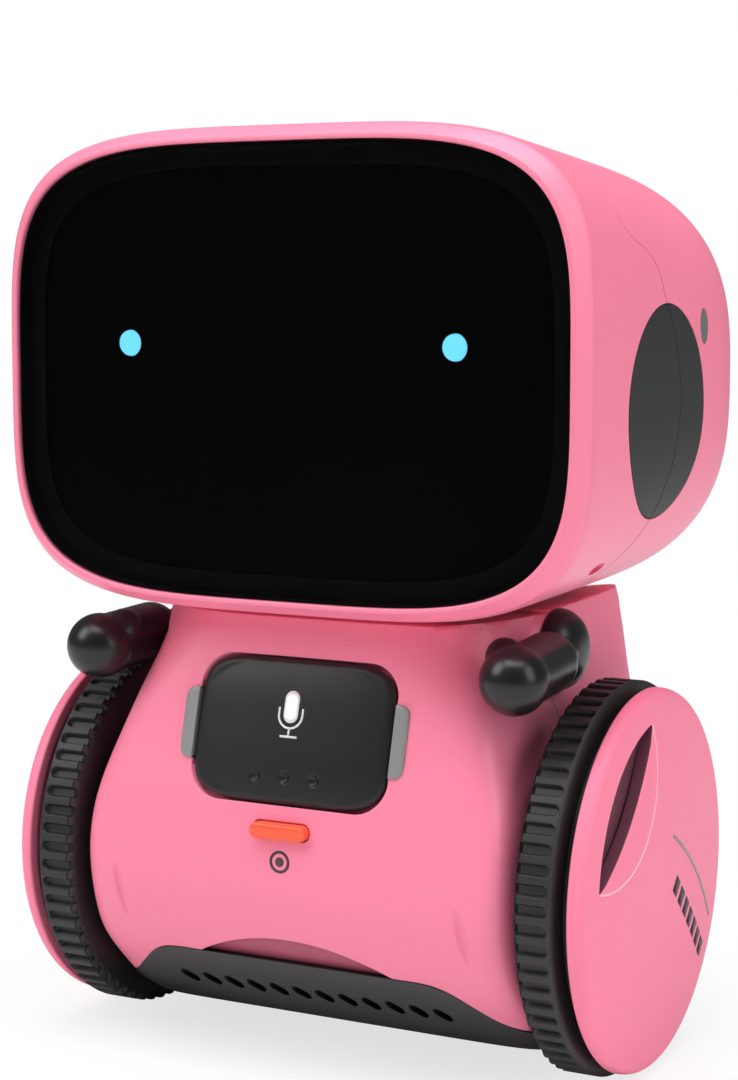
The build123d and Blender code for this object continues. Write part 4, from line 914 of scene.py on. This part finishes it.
# a row of plain bars under the line
bars = []
along = np.array([0.724, -0.69])
for k in range(7):
    start = np.array([3.0, -0.8]) + along * 2.6 * k
    bars.append(stroke([start, start + along * 0.85, start + along * 1.7], 1.15))
for word, side, obj in (("left", 1, cap), ("right", -1, right_cap)):
    piece(obj, f"{word}_wheel", "cap_pink", (f"{word}_wheel_cap",), smooth=30)
    # painted shade: the walls and the floor of the leaf-shaped opening get a dark pink that stands in for
    # the dark in which they lie
    obj.data.materials.append(PAINTED_SHADE_SLOT_PINK)
    for poly in obj.data.polygons:
        x, y, z = (c / MM for c in poly.center)
        radius, out = math.hypot(y, z - AXLE_Z), abs(x) - CAP_X
        wall = abs(poly.normal.x) < 0.5 and 0.6 < out < 2.9 and radius < 21.4
        if out < 0.85 and radius < 21.2 and y < -2 or wall:
            poly.material_index = 1
    wheel, place = f"{word}_wheel", cap_point(side)
    # painted highlight: a light, glowing pink line along the crease of the bevel
    print_or_painted_highlight(f"{word}_cap_crease", [stroke(bevel_edge, 0.13)], place, wheel, PAINTED_HIGHLIGHT_PINK, "cap_pink")
    print_or_painted_highlight(f"{word}_cap_line", [stroke(line, 0.24)], place, wheel, PRINT_GREY, "lens_grey")
    print_or_painted_highlight(f"{word}_cap_bars", bars, place, wheel, PRINT_DARK, "black_satin")

# ---------------------------------------------------------------- arms
BASE_X, SHOULDER_Z, DOME_R, DOME = 26.25, 53.9, 5.35, 4.3
ELBOW, ELBOW_NECK = np.array([29.3, -9.2, 53.6]), np.array([28.2, -2.0, 53.9])
NECK_R = 2.3
HAND, HAND_R = np.array([29.95, -20.4, 53.1]), 4.3
THUMB, THUMB_R = np.array([27.6, -18.0, 55.5]), 2.4
ARM_R = 3.95


def lathe(name, profile, origin, along, steps=72):
    """Turned solid: profile holds (distance along the axis, radius)."""
    along = np.array(along, float) / np.linalg.norm(along)
    across = np.cross(along, (0, 0, 1))
    across /= np.linalg.norm(across)
    up = np.cross(across, along)
    t = np.arange(steps) * 2 * math.pi / steps
    rings = []
    for a, r in profile:
        r = max(r, 0.02)
        centre = np.asarray(origin) + along * a
        rings.append([centre + r * (math.cos(k) * across + math.sin(k) * up) for k in t])
    return rings_mesh(name, rings)


def ball(name, centre, r):
    half_turn = [(-r * math.cos(a), r * math.sin(a)) for a in np.linspace(0.0, math.pi, 30)]
    return lathe(name, half_turn, centre, (0, -1, 0.001))


reach = float(np.linalg.norm(HAND - ELBOW))
direction = (HAND - ELBOW) / reach
neck_length = float(np.linalg.norm(ELBOW - ELBOW_NECK))
dome = [(22.3, 2.0), (BASE_X, 2.0), (BASE_X, DOME_R - 0.2), (BASE_X + 0.4, DOME_R)]
dome += [(BASE_X + 0.4 + (DOME - 0.4) * math.sin(a), DOME_R * math.cos(a) ** 0.75)
         for a in np.linspace(0.1, math.pi / 2 - 0.02, 16)]
parts = [
    lathe("dome", dome, (0, 0, SHOULDER_Z), (1, 0, 0)),
    lathe("forearm", [(-ARM_R * math.cos(a), ARM_R * math.sin(a)) for a in np.linspace(0, math.pi / 2, 12)]
          + [(reach, ARM_R)], ELBOW, direction),
    lathe("neck", [(0, NECK_R), (neck_length, NECK_R)], ELBOW_NECK, ELBOW - ELBOW_NECK),
    ball("hand", HAND, HAND_R),
    ball("thumb", THUMB, THUMB_R),
]
arm = joined("arm_blank", parts)
remesh = arm.modifiers.new("join", "REMESH")
remesh.mode = "VOXEL"
remesh.voxel_size = 0.16 * MM
soften = arm.modifiers.new("soften", "SMOOTH")
soften.factor = 0.5
soften.iterations = 14
made = bpy.data.meshes.new_from_object(arm.evaluated_get(bpy.context.evaluated_depsgraph_get()))
arm.modifiers.clear()
arm.data = made
left_arm = copy_of(arm, "left_arm_visual")
right_arm = mirrored(arm, "right_arm_visual")
discard(arm)
for word, obj in (("left", left_arm), ("right", right_arm)):
    piece(obj, f"{word}_arm", ARM_BLACK, (f"{word}_arm",), slot="black_satin", smooth=60)

# ---------------------------------------------------------------- pieces kept from the CAD
for obj in frame["nodes"].values():
    if obj.hide_render:
        continue
    shown = obj.data.materials[0].name.split(".")[0] if obj.data.materials else ""
    obj.data.materials.clear()
    obj.data.materials.append(FINISH.get(shown, FINISH["switch_black"]))
    shade(obj, 30)

for cutter in [o for o in bpy.data.objects if o.type == "MESH" and o.parent is None
               and o.name not in frame["nodes"] and "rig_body" not in o]:
    bpy.data.objects.remove(cutter, do_unlink=True)

# ---------------------------------------------------------------- stage, light, camera
bpy.ops.mesh.primitive_plane_add(size=8)
floor = bpy.context.object
floor.name = "floor"
SHADOW_FADE = 0.72
paper = bpy.data.materials.new("paper")
paper.use_nodes = True
parts, join = paper.node_tree.nodes, paper.node_tree.links.new
parts["Principled BSDF"].inputs["Base Color"].default_value = (0.9, 0.9, 0.9, 1)
parts["Principled BSDF"].inputs["Roughness"].default_value = 0.8
# away from the robot the camera sees the paper as plain white, so only the contact shadows show
far_off = parts.new("ShaderNodeVectorMath")
far_off.operation = "LENGTH"
spot = parts.new("ShaderNodeTexCoord")
join(spot.outputs["Object"], far_off.inputs[0])
fade = parts.new("ShaderNodeMapRange")
fade.interpolation_type = "SMOOTHSTEP"
fade.inputs["From Min"].default_value = 0.02
fade.inputs["From Max"].default_value = 0.075
fade.inputs["To Min"].default_value = SHADOW_FADE
join(far_off.outputs["Value"], fade.inputs["Value"])
eye_ray = parts.new("ShaderNodeLightPath")
both = parts.new("ShaderNodeMath")
both.operation = "MULTIPLY"
join(fade.outputs["Result"], both.inputs[0])
join(eye_ray.outputs["Is Camera Ray"], both.inputs[1])
white = parts.new("ShaderNodeEmission")
blend = parts.new("ShaderNodeMixShader")
join(both.outputs[0], blend.inputs[0])
join(parts["Principled BSDF"].outputs[0], blend.inputs[1])
join(white.outputs[0], blend.inputs[2])
join(blend.outputs[0], parts["Material Output"].inputs["Surface"])
floor.data.materials.append(paper)

world = bpy.data.worlds.new("studio")
bpy.context.scene.world = world
world.use_nodes = True
parts, join = world.node_tree.nodes, world.node_tree.links.new
parts["Background"].inputs["Color"].default_value = (1.0, 1.0, 1.0, 1)
parts["Background"].inputs["Strength"].default_value = 0.17
# the camera sees plain white behind the robot, brighter than the light that falls on it
seen = parts.new("ShaderNodeBackground")
seen.inputs["Color"].default_value = (1, 1, 1, 1)
seen.inputs["Strength"].default_value = 1.0
path = parts.new("ShaderNodeLightPath")
choose = parts.new("ShaderNodeMixShader")
join(path.outputs["Is Camera Ray"], choose.inputs[0])
join(parts["Background"].outputs[0], choose.inputs[1])
join(seen.outputs[0], choose.inputs[2])
join(choose.outputs[0], parts["World Output"].inputs["Surface"])


def lamp(name, place, target, size, power, tint=(1, 1, 1)):
    data = bpy.data.lights.new(name, "AREA")
    data.shape = "RECTANGLE"
    data.size, data.size_y = size
    data.energy = power
    data.color = tint
    obj = bpy.data.objects.new(name, data)
    bpy.context.collection.objects.link(obj)
    obj.location = place
    obj.rotation_euler = (Vector(target) - Vector(place)).to_track_quat("-Z", "Y").to_euler()
    return obj


lamp("overhead", (0.05, -0.1, 0.75), (0, 0, 0.06), (0.7, 0.6), 6.2, (0.97, 0.96, 1.0))
lamp("left_box", (-0.5, -0.5, 0.6), (0, 0, 0.06), (0.4, 0.5), 3.1)
lamp("right_box", (0.7, -0.1, 0.4), (0, 0, 0.06), (0.3, 0.6), 1.7)

camera_data = bpy.data.cameras.new("camera")
camera_data.sensor_fit = "VERTICAL"
camera_data.sensor_height = 36.0
camera_data.lens = 78.79
camera = bpy.data.objects.new("camera", camera_data)
bpy.context.collection.objects.link(camera)
camera.location = (0.1456, -0.2765, 0.1009)
camera.rotation_euler = (math.radians(90 - 6.26), 0, math.radians(27.86))
bpy.context.scene.camera = camera
bpy.context.scene.view_settings.view_transform = "Standard"
